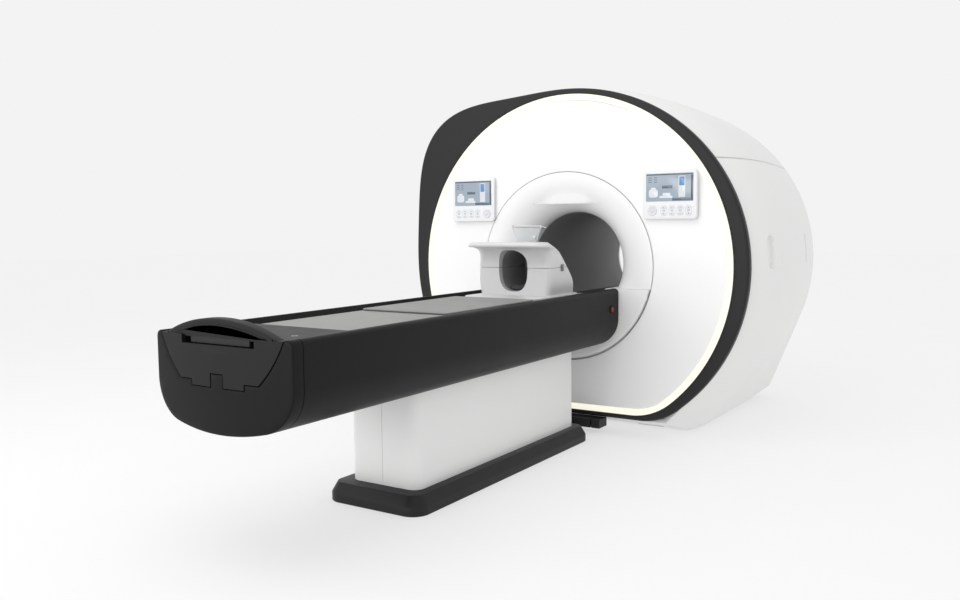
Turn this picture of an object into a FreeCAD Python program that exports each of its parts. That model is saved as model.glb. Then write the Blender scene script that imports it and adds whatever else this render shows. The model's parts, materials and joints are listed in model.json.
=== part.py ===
"""Whole-body magnetic resonance scanner: a covered magnet, its lifting patient table and a head coil.

Everything is modelled in millimetres about the centre of the light ring, in the plane of its front
edge: X to the right as the operator faces the scanner, Y into the bore, Z up. write_node() then
sets it on the floor and moves it to the middle of its footprint.
"""

import FreeCAD, Part
import math
import os

Vector = FreeCAD.Vector

# Place of the modelling origin in the finished part
RING_CENTRE_HEIGHT = 965.0
FRONT_PLANE_Y = 510.0

# Gantry covers
LIGHT_RADIUS = 1000.0
LIGHT_WIDTH = 35.0
LIGHT_DEPTH = 14.0
LIGHT_FLAT_Z = -847.0
LIGHT_CORNER = 350.0
BEZEL_DEPTH = 45.0
BEZEL_LIP = 14.0
COVER_WALL = 10.0
SEAM_GAP = 3.0
TOP_SEAM_Z = 600.0
REAR_Y = 1600.0
BODY_FOOT_Z = -945.0
SASH_FOOT_Z = -800.0
SHOULDER_HEIGHT = 200.0
SHOULDER_ANGLE = 137.5
SHOULDER_HALF_WIDTH = 18.0
SHOULDER_END_Y = 760.0
# each station of the body: depth, half width, height, foot half width, foot level
BODY_STATIONS = (
    (45.0, 1068.0, 1027.0, 612.0, -884.0),
    (140.0, 1114.0, 1042.0, 668.0, -922.0),
    (320.0, 1162.0, 1058.0, 716.0, -945.0),
    (520.0, 1175.0, 1062.0, 728.0, -941.0),
    (720.0, 1168.0, 1062.0, 738.0, -935.0),
    (1200.0, 1110.0, 1056.0, 760.0, -915.0),
    (1470.0, 1072.0, 1050.0, 774.0, -898.0),
    (1570.0, 1054.0, 1042.0, 778.0, -893.0),
)
BEZEL_HALF_WIDTH = 1085.0
BEZEL_HEIGHT = 1032.0
BEZEL_FOOT = 600.0
BEZEL_FOOT_Z = -877.0
UNDERSIDE = 660.0
UNDERSIDE_FROM_Y = 290.0
GRIP_SIZE = (84.0, 186.0)
GRIP_DEPTH = 32.0
GRIP_WALL = 5.0
GRIP_Y = {1: (236.0, 1035.0), -1: (560.0, 1035.0)}
GRIP_Z = 86.0

# Bore and magnet, all on the bore axis
BORE_Z = 15.0
BORE_RADIUS = 305.0
BORE_FRONT_Y = 180.0
BORE_REAR_Y = 1440.0
LINER_WALL = 6.0
FUNNEL_RADIUS = 553.0
FUNNEL_FRONT_Y = -8.0
HOOD_LIP_Z = 370.0
HOOD_HALF_WIDTH = 220.0
HOOD_FACE_Y = 12.0
VESSEL_RADIUS = 900.0
VESSEL_BORE = 450.0
VESSEL_FRONT_Y = 230.0
VESSEL_REAR_Y = 1480.0
VESSEL_WALL = 12.0
FLOOR_Z = -RING_CENTRE_HEIGHT

# Operator panels, one each side of the bore
PANEL_SIZE = (308.0, 268.0)
PANEL_DEPTH = 22.0
PANEL_FACE_Y = -31.0
PANEL_BOSS = 30.0
PANEL_BOSS_Z = 400.0
PANEL_BOTTOM_Z = 270.0
PANEL_LEFT_X = -627.0
PANEL_RIGHT_X = 654.0
SCREEN_SIZE = (271.0, 152.0)
SCREEN_TOP_MARGIN = 19.0
KEY_SIZE = (31.0, 17.0)
KEY_COLUMNS = (122.0, 169.0, 216.0, 263.0)
KEY_SHEET_SIZE = (180.0, 54.0)
KEY_ROWS = (31.0, 63.0)
PAD_OFFSET = 55.0
PAD_RADIUS = 27.0
PAD_TRAVEL = 1.5

# Table
TABLE_HALF_WIDTH = 348.0
TABLE_TOP_Z = -120.0
TABLE_BOTTOM_Z = -473.0
TABLE_HEAD_Y = -14.0
CAP_FRONT_Y = -2620.0
CAP_BULGE = 25.0
CAP_JOIN_Y = -2546.0
TABLE_WALL = 6.0
TABLE_CORNER = 160.0
TABLE_BELLY = 1000.0
TROUGH_TOP = 312.0
TROUGH_SHELF = 200.0
TROUGH_SHELF_Z = -284.0
CHANNEL_HALF_WIDTH = 135.0
CHANNEL_Z = -306.0
RAIL_HALF_WIDTH = 31.0
RAIL_TOP_Z = -256.0

# Cradle drive, lift and emergency stop
BELT_X = 85.0
BELT_WIDTH = 22.0
PULLEY_RADIUS = 8.0
DRIVE_Z = -318.0
DRIVE_Y = (-2440.0, -740.0)
ROLLER_RADIUS = 28.0
ROLLER_Y = -60.0
BEAM_X = 222.0
STOP_AT = (-110.0, -232.0)
STOP_HOLE = 24.0

# Cradle
CRADLE_HALF_WIDTH = 246.0
CRADLE_TOP_Z = -136.0
CRADLE_BASE_Z = -190.0
CRADLE_FOOT_Y = -2224.0
CRADLE_HEAD_Y = -200.0
DECK_TOP_Z = -129.0
DECK_BASE_Z = -166.0
PANEL_TOP_Z = -124.0
PANEL_BACK_Y = -2560.0
SOCKET_AT = (205.0, -2440.0)
SOCKET_RADIUS = 9.0
SOCKET_DEPTH = 30.0
CARRIAGE_Y = -2390.0
RUNNING_GAP = 2.0
MAT_FOOT_Y = -1560.0
MAT_HEAD_Y = -793.0
MAT_THICKNESS = 11.0

# Head coil
COIL_HALF_WIDTH = 225.0
COIL_FACE_Y = -600.0
COIL_TOP_Z = 155.0
# each level of the coil: height, half width, where the round rear begins and how deep it is
COIL_LEVELS = (
    (-135.9, 213.0, -345.0, 140.0),
    (-60.0, 225.0, -375.0, 165.0),
    (20.0, 225.0, -452.0, 188.0),
    (84.0, 214.0, -530.0, 190.0),
    (127.0, 189.0, -560.0, 185.0),
    (155.0, 140.0, -590.0, 139.0),
)
COIL_SPLIT_Z = 20.0
COIL_BASE_HALF_WIDTH = 235.0
COIL_BASE_FOOT_Y = -790.0
COIL_BASE_CORNER = 110.0
COIL_OPENING = (88.0, 112.0)
COIL_OPENING_Z = 4.0
# each level of the brow: height, half width and front
COIL_BROW = (
    (34.0, 225.0, -600.0),
    (70.0, 227.0, -606.0),
    (100.0, 232.0, -625.0),
    (122.0, 239.0, -655.0),
    (134.0, 246.0, -700.0),
)
VISOR_FRONT_Y = -724.0
LATCH_Y = (-482.0, -460.0)
LATCH_Z = (3.0, 36.0)

# Pedestal and plinth
PLINTH_PLAN = (260.0, -1815.0, -195.0, 80.0)
PLINTH_SLOPE = 28.0
PEDESTAL_WALL = 6.0
PEDESTAL_HALF_WIDTH = 188.0
PEDESTAL_FOOT_Y = -1722.0
PEDESTAL_HEAD_Y = -250.0
PEDESTAL_TOP_Z = -452.0
PEDESTAL_CORNER = 50.0
PLINTH_TOP_Z = -880.0
PLINTH_RIM_Z = -925.0
COLUMN_Y = (-1350.0, -610.0)


# ---------------------------------------------------------------- helpers


def write_node(name, shape):
    """Set one node on the floor and write it to parts/."""
    placed = shape.copy()
    placed.translate(Vector(0, FRONT_PLANE_Y, RING_CENTRE_HEIGHT))
    placed = placed.removeSplitter()
    placed.exportStep(os.path.join("parts", name + ".step"))
    print(f"{name:24s} {len(placed.Solids)} solids  valid {placed.isValid()}  {placed.Volume / 1e6:9.3f} dm3")


def box(x, y, z):
    """A block between two limits on each axis."""
    return Part.makeBox(x[1] - x[0], y[1] - y[0], z[1] - z[0], Vector(x[0], y[0], z[0]))


def rod(radius, start, end):
    """A cylinder between two points."""
    direction = Vector(*end) - Vector(*start)
    return Part.makeCylinder(radius, direction.Length, Vector(*start), direction)


def ring(outer, inner, y, z=BORE_Z):
    """A tube along the bore, centred on the bore axis unless another level is given."""
    tube = rod(outer, (0, y[0], z), (0, y[1], z))
    return tube.cut(rod(inner, (0, y[0] - 1, z), (0, y[1] + 1, z)))


def line(start, end):
    """A straight edge."""
    return Part.LineSegment(start, end).toShape()


def arc(start, middle, end):
    """A round edge through three points."""
    return Part.Arc(start, middle, end).toShape()


def closed(points, place):
    """A closed wire of straight lines through 2D points, placed by a function."""
    corners = [place(*point) for point in points]
    return Part.makePolygon(corners + corners[:1])


def across(y):
    """Places a 2D point in the upright plane across the scanner at one depth."""
    return lambda x, z: Vector(x, y, z)


def prism(wire, depth):
    """A solid from an upright wire carried along the scanner."""
    return Part.Face(wire).extrude(Vector(0, depth, 0))


def rounded_plan(half_width, foot_y, head_y, corner, z):
    """A rounded rectangle in plan."""
    x = half_width
    k = corner * (1 - math.sqrt(0.5))
    at = lambda px, py: Vector(px, py, z)
    return Part.Wire([
        line(at(-x + corner, foot_y), at(x - corner, foot_y)),
        arc(at(x - corner, foot_y), at(x - k, foot_y + k), at(x, foot_y + corner)),
        line(at(x, foot_y + corner), at(x, head_y - corner)),
        arc(at(x, head_y - corner), at(x - k, head_y - k), at(x - corner, head_y)),
        line(at(x - corner, head_y), at(-x + corner, head_y)),
        arc(at(-x + corner, head_y), at(-x + k, head_y - k), at(-x, head_y - corner)),
        line(at(-x, head_y - corner), at(-x, foot_y + corner)),
        arc(at(-x, foot_y + corner), at(-x + k, foot_y + k), at(-x + corner, foot_y)),
    ])


def rounded_upright(centre_x, centre_z, width, height, corner, y):
    """A rounded rectangle in the upright plane across the scanner."""
    wire = rounded_plan(width / 2, -height / 2, height / 2, corner, 0)
    wire.rotate(Vector(0, 0, 0), Vector(1, 0, 0), 90)
    wire.translate(Vector(centre_x, y, centre_z))
    return wire


# ---------------------------------------------------------------- gantry covers


def foot_tangent(half_width, height, foot_x, foot_z):
    """Angle at which a straight flank from the foot touches the elliptical section."""
    p = foot_x / half_width
    q = foot_z / height
    return math.atan2(q, p) + math.acos(1 / math.hypot(p, q))


def cover_section(y, half_width, height, foot_x, foot_z, shoulder=0.0, inset=0.0):
    """Closed section of the covers: an ellipse above straight flanks and a flat underside.

    The left shoulder swells outwards as a bell curve about SHOULDER_ANGLE.
    """
    a = half_width - inset
    b = height - inset
    foot = Vector(foot_x - inset, y, foot_z + inset)
    start = foot_tangent(a, b, foot.x, foot.z)
    steps = 36
    points = []
    for step in range(steps + 1):
        t = start + (math.pi - 2 * start) * step / steps
        x = a * math.cos(t)
        z = b * math.sin(t)
        bearing = math.atan2(z, x)
        offset = (math.degrees(bearing) - SHOULDER_ANGLE) / SHOULDER_HALF_WIDTH
        swell = shoulder * SHOULDER_HEIGHT * 2 ** (-offset * offset)
        points.append(Vector(x + swell * math.cos(bearing), y, z + swell * math.sin(bearing)))
    crown = Part.BSplineCurve()
    crown.interpolate(points)
    left_foot = Vector(-foot.x, y, foot.z)
    return Part.Wire([
        crown.toShape(),
        line(points[-1], left_foot),
        line(left_foot, foot),
        line(foot, points[0]),
    ])


def shoulder_at(y):
    """How much of the shoulder is left at a depth, from all of it to none."""
    share = min(1.0, max(0.0, y / SHOULDER_END_Y))
    return 0.5 + 0.5 * math.cos(math.pi * share)


def body_solid(inset=0.0):
    """The covered body behind the bezel, as one solid."""
    sections = [
        cover_section(y, a, b, fx, fz, shoulder_at(y), inset)
        for y, a, b, fx, fz in BODY_STATIONS
    ]
    body = Part.makeLoft(sections, True, False)
    y, a, b, fx, fz = BODY_STATIONS[-1]
    edge = REAR_Y - y
    rim = Part.makeLoft([sections[-1], cover_section(REAR_Y, a, b, fx, fz, 0.0, inset + edge)], True, True)
    return body.fuse(rim)


def bezel_section(y, inset):
    """Section of the dark front bezel."""
    return cover_section(y, BEZEL_HALF_WIDTH, BEZEL_HEIGHT, BEZEL_FOOT, BEZEL_FOOT_Z, 1.0, inset)


def bezel_solid(inset=0.0):
    """The bezel's outer form, with its softened front lip."""
    lip = Part.makeLoft([bezel_section(0.0, inset + BEZEL_LIP), bezel_section(5.0, inset + 5.0)], True, True)
    turn = Part.makeLoft([bezel_section(5.0, inset + 5.0), bezel_section(BEZEL_LIP, inset)], True, True)
    band = prism(bezel_section(BEZEL_LIP, inset), BEZEL_DEPTH - BEZEL_LIP)
    return lip.fuse([turn, band])


def light_outline(inset, y):
    """The light ring's outline: a circle cut by a flat foot with rounded corners."""
    radius = LIGHT_RADIUS - inset
    corner = LIGHT_CORNER - inset
    level = LIGHT_FLAT_Z + inset + corner
    corner_x = math.sqrt((radius - corner) ** 2 - level ** 2)
    reach = radius / (radius - corner)
    join = Vector(corner_x * reach, y, level * reach)
    turn = (math.atan2(level, corner_x) - math.pi / 2) / 2
    middle = Vector(corner_x + corner * math.cos(turn), y, level + corner * math.sin(turn))
    foot = Vector(corner_x, y, LIGHT_FLAT_Z + inset)
    mirrored = lambda point: Vector(-point.x, point.y, point.z)
    return Part.Wire([
        arc(join, Vector(0, y, radius), mirrored(join)),
        arc(mirrored(join), mirrored(middle), mirrored(foot)),
        line(mirrored(foot), foot),
        arc(foot, middle, join),
    ])


def sash_zone(margin):
    """The room in front of the seam between the dark bezel and the white covers, seen in plan."""
    near = BEZEL_DEPTH + margin
    far = 420.0 + margin
    at = lambda x, y: Vector(x, y, SASH_FOOT_Z - margin)
    wire = Part.Wire([
        line(at(1400, -100), at(1400, near)),
        line(at(1400, near), at(300, near)),
        arc(at(300, near), at(-500, 0.25 * far + 0.75 * near), at(-1300, far)),
        line(at(-1300, far), at(-1400, far)),
        line(at(-1400, far), at(-1400, -100)),
        line(at(-1400, -100), at(1400, -100)),
    ])
    sweep = Part.Face(wire).extrude(Vector(0, 0, 2200))
    return sweep.fuse(box((-1400, 1400), (-100, near), (-1300, SASH_FOOT_Z - margin)))


def grip_columns(side, grow):
    """Upright ovals that run out through a side cover where its two grips are."""
    width, height = (size + 2 * grow for size in GRIP_SIZE)
    columns = []
    for y in GRIP_Y[side]:
        plan = rounded_plan(height / 2, -width / 2, width / 2, width / 2 - 0.5, 0)
        column = Part.Face(plan).extrude(Vector(0, 0, 400))
        column.rotate(Vector(0, 0, 0), Vector(0, 1, 0), 90 * side)
        column.translate(Vector(900 * side, y, GRIP_Z))
        columns.append(column)
    return Part.makeCompound(columns)


def build_gantry_covers():
    """Bezel, light ring, front, top, side and rear covers."""
    outer = body_solid()
    inner = body_solid(COVER_WALL)
    reach = box((-1400, 1400), (BODY_STATIONS[0][0], REAR_Y - COVER_WALL), (-1200, 1300))
    skin = outer.cut(inner).common(reach)
    flange = (BEZEL_DEPTH + SEAM_GAP, BEZEL_DEPTH + SEAM_GAP + 6)
    brow = outer.common(box((-1400, 1400), flange, (-1200, 1300)))
    skin = skin.fuse(brow.cut(prism(bezel_section(0.0, 30.0), 200)))
    skin = skin.cut(box((-UNDERSIDE, UNDERSIDE), (UNDERSIDE_FROM_Y, 1560), (-1000, -870)))

    hollow = bezel_solid(COVER_WALL).common(box((-1400, 1400), (6, BEZEL_DEPTH - 6), (-1200, 1400)))
    band = bezel_solid().cut(hollow)
    band = band.cut(prism(light_outline(-1.0, -50), 200))
    sash = skin.common(sash_zone(0)).cut(box((-100, 1400), (0, 200), (-1200, 1400)))
    write_node("front_bezel", band.fuse(sash.common(box((-1400, 1400), (0, 600), (SASH_FOOT_Z, 1400)))))

    light = prism(light_outline(0.0, 0), LIGHT_DEPTH)
    light = light.cut(prism(light_outline(LIGHT_WIDTH, -1), LIGHT_DEPTH + 2))
    write_node("light_ring", light)

    white = skin.cut(sash_zone(SEAM_GAP))
    top_half = box((-1400, 1400), (0, 1700), (TOP_SEAM_Z + SEAM_GAP / 2, 1400))
    write_node("top_cover", white.common(top_half))
    grip_floor = body_solid(GRIP_DEPTH)
    cup_floor = body_solid(GRIP_DEPTH + GRIP_WALL)
    for name, side in (("side_cover_left", -1), ("side_cover_right", 1)):
        reach = sorted((SEAM_GAP / 2 * side, 1400 * side))
        cover = white.common(box(reach, (0, 1700), (-1200, TOP_SEAM_Z - SEAM_GAP / 2)))
        cups = grip_columns(side, GRIP_WALL).common(inner).cut(cup_floor)
        write_node(name, cover.fuse(cups).cut(grip_columns(side, 0.0).cut(grip_floor)))

    y, a, b, fx, fz = BODY_STATIONS[-1]
    inset = REAR_Y - y + SEAM_GAP
    rear_plate = prism(cover_section(REAR_Y - COVER_WALL, a, b, fx, fz, 0.0, inset), COVER_WALL)
    write_node("rear_cover", rear_plate.cut(rod(483, (0, 1500, BORE_Z), (0, 1700, BORE_Z))))

    profile = Part.Wire([
        arc(Vector(554.5, -8, 0), Vector(760, -3, 0), Vector(990, 9, 0)),
        line(Vector(990, 9, 0), Vector(990, 15, 0)),
        arc(Vector(990, 15, 0), Vector(760, 3, 0), Vector(554.5, -2, 0)),
        line(Vector(554.5, -2, 0), Vector(554.5, -8, 0)),
    ])
    dish = Part.Face(profile).revolve(Vector(0, 0, 0), Vector(0, 1, 0), 360)
    dish = dish.common(prism(light_outline(LIGHT_WIDTH + 1.5, -50), 100))
    for x in (PANEL_LEFT_X, PANEL_RIGHT_X):
        dish = dish.cut(rod(PANEL_BOSS + 0.5, (x, -50, PANEL_BOSS_Z), (x, 50, PANEL_BOSS_Z)))
    write_node("front_cover", dish)


def build_bore():
    """Front funnel with its hood, shelf, bore liner, bridge and rear funnel."""

    def horn(wall):
        """The funnel's flare as a solid: a quarter ellipse from the front plane into the bore."""
        rings = []
        for step in range(7):
            turn = math.pi / 2 * step / 6
            radius = BORE_RADIUS + (FUNNEL_RADIUS - 1.5 - BORE_RADIUS) * (1 - math.sin(turn)) + wall
            depth = FUNNEL_FRONT_Y + (BORE_FRONT_Y - FUNNEL_FRONT_Y) * (1 - math.cos(turn))
            level = BORE_Z * math.sin(turn)
            circle = Part.Circle(Vector(0, depth, level), Vector(0, 1, 0), radius)
            rings.append(Part.Wire([circle.toShape()]))
        return Part.makeLoft(rings, True, False)

    air = horn(0.0)
    flare = horn(6.0).cut(air)
    flare = flare.common(rod(FUNNEL_RADIUS - 1.5, (0, -50, 0), (0, 250, 0)))
    hood = air.common(box((-HOOD_HALF_WIDTH, HOOD_HALF_WIDTH), (HOOD_FACE_Y, 200), (HOOD_LIP_Z, 600)))
    gutter = box((-262, 262), (-20, 200), (-400, -120))
    write_node("front_funnel", flare.fuse(hood).cut(gutter))

    shelf = air.common(box((-600, 600), (-8, BORE_FRONT_Y), (-134, -124)))
    apron = air.common(box((-600, 600), (-8, 0), (-600, -134)))
    shelf = shelf.fuse(apron).cut(box((-262, 262), (-60, 300), (-208, -100)))
    write_node("bore_shelf", shelf)

    liner = ring(BORE_RADIUS + LINER_WALL, BORE_RADIUS, (BORE_FRONT_Y, BORE_REAR_Y))
    write_node("bore_liner", liner)

    tunnel = rod(BORE_RADIUS - 0.5, (0, -6, BORE_Z), (0, BORE_REAR_Y, BORE_Z))
    deck = tunnel.common(box((-400, 400), (0, BORE_REAR_Y), (-400, -200)))
    deck = deck.cut(box((-50, 50), (-10, BORE_REAR_Y + 10), (-240, -190)))
    for side in (-1, 1):
        strip = box((side * 105 - 15, side * 105 + 15), (0, BORE_REAR_Y), (-200, CRADLE_BASE_Z - 0.4))
        deck = deck.fuse(strip)
    write_node("bore_bridge", deck)

    flare_wire = lambda shift: [
        Part.Wire([Part.Circle(Vector(0, y, BORE_Z), Vector(0, 1, 0), r + shift).toShape()])
        for y, r in ((BORE_REAR_Y + 0.5, 311.0), (1490.0, 322.0), (1550.0, 368.0), (REAR_Y - 2, 476.0))
    ]
    rear = Part.makeLoft(flare_wire(5.0), True, False).cut(Part.makeLoft(flare_wire(0.0), True, False))
    write_node("rear_funnel", rear)


def build_magnet():
    """Vacuum vessel, windings, gradient and body coils, cold head, frame and feet."""
    y = (VESSEL_FRONT_Y, VESSEL_REAR_Y)
    inside = (y[0] + VESSEL_WALL, y[1] - VESSEL_WALL)
    vessel = ring(VESSEL_RADIUS, VESSEL_BORE, y)
    vessel = vessel.cut(ring(VESSEL_RADIUS - VESSEL_WALL, VESSEL_BORE + VESSEL_WALL, inside))
    write_node("cryostat_vessel", vessel)

    middle = (y[0] + y[1]) / 2
    former = ring(490, 475, inside)
    coils = [former]
    for offset in (-500, -260, -80, 80, 260, 500):
        half = 60 if abs(offset) == 500 else 35
        coils.append(ring(570, 490, (middle + offset - half, middle + offset + half)))
    write_node("magnet_windings", Part.makeCompound(coils))

    write_node("gradient_coil", ring(445, 352, (260, 1450)))
    body_coil = ring(330, 320, (300, 1410))
    for start in (300, 1370):
        body_coil = body_coil.fuse(ring(345, 329, (start, start + 40)))
    write_node("body_coil", body_coil)

    lean = math.radians(SHOULDER_ANGLE)
    out = lambda r: (r * math.cos(lean), 330, BORE_Z + r * math.sin(lean))
    head = rod(75, out(880), out(1030)).fuse(rod(50, out(1030), out(1080)))
    write_node("cold_head", head.cut(rod(VESSEL_RADIUS, (0, 0, BORE_Z), (0, 1700, BORE_Z))))

    frame = None
    keep = box((-1200, 1200), (0, 1700), (-880, 1200))
    for start in (120, 1500):
        hoop = ring(970, 930, (start, start + 30)).common(keep)
        frame = hoop if frame is None else frame.fuse(hoop)
    for bearing in (35, 145, -20, 200):
        lean = math.radians(bearing)
        x = 950 * math.cos(lean)
        z = BORE_Z + 950 * math.sin(lean)
        frame = frame.fuse(box((x - 15, x + 15), (150, 1500), (z - 15, z + 15)))
    write_node("cover_frame", frame)

    feet = []
    for x in (-420, 420):
        for start in (300, 1240):
            leg = box((x - 80, x + 80), (start, start + 160), (FLOOR_Z, -740))
            feet.append(leg.cut(rod(VESSEL_RADIUS, (0, 0, BORE_Z), (0, 1700, BORE_Z))))
    write_node("magnet_feet", Part.makeCompound(feet))


# ---------------------------------------------------------------- operator panels


def build_panel(side, centre_x):
    """One operator panel: housing, screen, sealed keypad and a pad that is pressed."""
    word = "left" if side < 0 else "right"
    width, height = PANEL_SIZE
    centre_z = PANEL_BOTTOM_Z + height / 2
    bore_edge = centre_x - side * width / 2
    screen_z = PANEL_BOTTOM_Z + height - SCREEN_TOP_MARGIN - SCREEN_SIZE[1] / 2
    pad_x = bore_edge + side * PAD_OFFSET
    pad_z = PANEL_BOTTOM_Z + sum(KEY_ROWS) / 2

    case = prism(rounded_upright(centre_x, centre_z, width, height, 20, PANEL_FACE_Y), PANEL_DEPTH)
    boss_front = PANEL_FACE_Y + PANEL_DEPTH - 1
    case = case.fuse(rod(PANEL_BOSS, (centre_x, boss_front, PANEL_BOSS_Z), (centre_x, 18, PANEL_BOSS_Z)))
    window = rounded_upright(centre_x, screen_z, SCREEN_SIZE[0], SCREEN_SIZE[1], 3, PANEL_FACE_Y - 1)
    case = case.cut(prism(window, 5))
    case = case.cut(rod(PAD_RADIUS + 0.6, (pad_x, PANEL_FACE_Y - 1, pad_z), (pad_x, PANEL_FACE_Y + 7, pad_z)))
    keys = []
    for column in KEY_COLUMNS:
        for row in KEY_ROWS:
            x = bore_edge + side * column
            z = PANEL_BOTTOM_Z + row
            well = rounded_upright(x, z, KEY_SIZE[0] + 1, KEY_SIZE[1] + 1, 7.5, PANEL_FACE_Y - 1)
            case = case.cut(prism(well, 5))
            keys.append(prism(rounded_upright(x, z, KEY_SIZE[0], KEY_SIZE[1], 7, PANEL_FACE_Y - 1.5), 4.5))
    sheet_x = bore_edge + side * (KEY_COLUMNS[0] + KEY_COLUMNS[-1]) / 2
    sheet = prism(rounded_upright(sheet_x, pad_z, *KEY_SHEET_SIZE, 6, PANEL_FACE_Y + 3), 2)
    case = case.cut(sheet)
    write_node("panel_housing_" + word, case)
    write_node("panel_keypad_" + word, sheet.fuse(keys))

    glass_size = (SCREEN_SIZE[0] - 0.6, SCREEN_SIZE[1] - 0.6)
    glass = rounded_upright(centre_x, screen_z, *glass_size, 2.7, PANEL_FACE_Y + 0.5)
    write_node("panel_screen_" + word, prism(glass, 3.5))

    pad = rod(PAD_RADIUS, (pad_x, PANEL_FACE_Y - 3, pad_z), (pad_x, PANEL_FACE_Y + 2, pad_z))
    groove = ring(10.5, 9.0, (PANEL_FACE_Y - 4, PANEL_FACE_Y - 2), pad_z)
    pad = pad.cut(groove.translated(Vector(pad_x, 0, 0)))
    pad = pad.fuse(rod(6, (pad_x, PANEL_FACE_Y + 1, pad_z), (pad_x, PANEL_FACE_Y + 4.5, pad_z)))
    write_node("navigation_pad_" + word, pad)


# ---------------------------------------------------------------- table


def table_outline(inset, y):
    """Outer section of the table: upright sides that turn into a shallow belly."""
    half = TABLE_HALF_WIDTH - inset
    corner = TABLE_CORNER - inset
    belly = TABLE_BELLY - inset
    belly_z = TABLE_BOTTOM_Z + TABLE_BELLY
    corner_x = half - corner
    corner_z = belly_z - math.sqrt((belly - corner) ** 2 - corner_x ** 2)
    reach = belly / (belly - corner)
    join = Vector(corner_x * reach, y, belly_z + (corner_z - belly_z) * reach)
    turn = math.atan2(join.z - corner_z, join.x - corner_x) / 2
    middle = Vector(corner_x + corner * math.cos(turn), y, corner_z + corner * math.sin(turn))
    top = TABLE_TOP_Z - inset
    soft = 24.0
    k = soft * (1 - math.sqrt(0.5))
    at = across(y)
    flip = lambda point: Vector(-point.x, point.y, point.z)
    side = at(half, corner_z)
    shoulder = at(half, top - soft)
    crest = at(half - soft, top)
    return Part.Wire([
        line(flip(crest), crest),
        arc(crest, at(half - k, top - k), shoulder),
        line(shoulder, side),
        arc(side, middle, join),
        arc(join, at(0, TABLE_BOTTOM_Z + inset), flip(join)),
        arc(flip(join), flip(middle), flip(side)),
        line(flip(side), flip(shoulder)),
        arc(flip(shoulder), at(-half + k, top - k), flip(crest)),
    ])


def trough_outline(inset, y, rail=True):
    """Section of the open trough that the cradle runs in, with the guide rail left standing."""
    at = across(y)
    top = TABLE_TOP_Z + 20
    shelf = TROUGH_SHELF - inset
    rim = TROUGH_TOP - inset
    deep = CHANNEL_HALF_WIDTH - inset
    floor = CHANNEL_Z + inset
    shelf_z = TROUGH_SHELF_Z + inset
    rail_x = RAIL_HALF_WIDTH + inset
    rail_z = RAIL_TOP_Z + inset
    bowl = (268.0 - inset, -205.0 + inset * 0.4)
    edges = [
        line(at(-rim, TABLE_TOP_Z), at(-rim, top)),
        line(at(-rim, top), at(rim, top)),
        line(at(rim, top), at(rim, TABLE_TOP_Z)),
        arc(at(rim, TABLE_TOP_Z), at(*bowl), at(shelf, shelf_z)),
        line(at(shelf, shelf_z), at(deep, shelf_z)),
        line(at(deep, shelf_z), at(deep, floor)),
    ]
    if rail:
        steps = [
            (deep, floor), (rail_x, floor), (rail_x, rail_z),
            (-rail_x, rail_z), (-rail_x, floor), (-deep, floor),
        ]
    else:
        steps = [(deep, floor), (-deep, floor)]
    edges += [line(at(*steps[i]), at(*steps[i + 1])) for i in range(len(steps) - 1)]
    edges += [
        line(at(-deep, floor), at(-deep, shelf_z)),
        line(at(-deep, shelf_z), at(-shelf, shelf_z)),
        arc(at(-shelf, shelf_z), at(-bowl[0], bowl[1]), at(-rim, TABLE_TOP_Z)),
    ]
    return Part.Wire(edges)


def cap_face_zone():
    """Everything behind the gently bowed end face of the table."""
    radius = (TABLE_HALF_WIDTH ** 2 + CAP_BULGE ** 2) / (2 * CAP_BULGE)
    bow = Part.makeCylinder(radius, 800, Vector(0, CAP_FRONT_Y + radius, -700), Vector(0, 0, 1))
    return bow.common(box((-500, 500), (CAP_FRONT_Y - 1, -1400), (-700, 100)))


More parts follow.
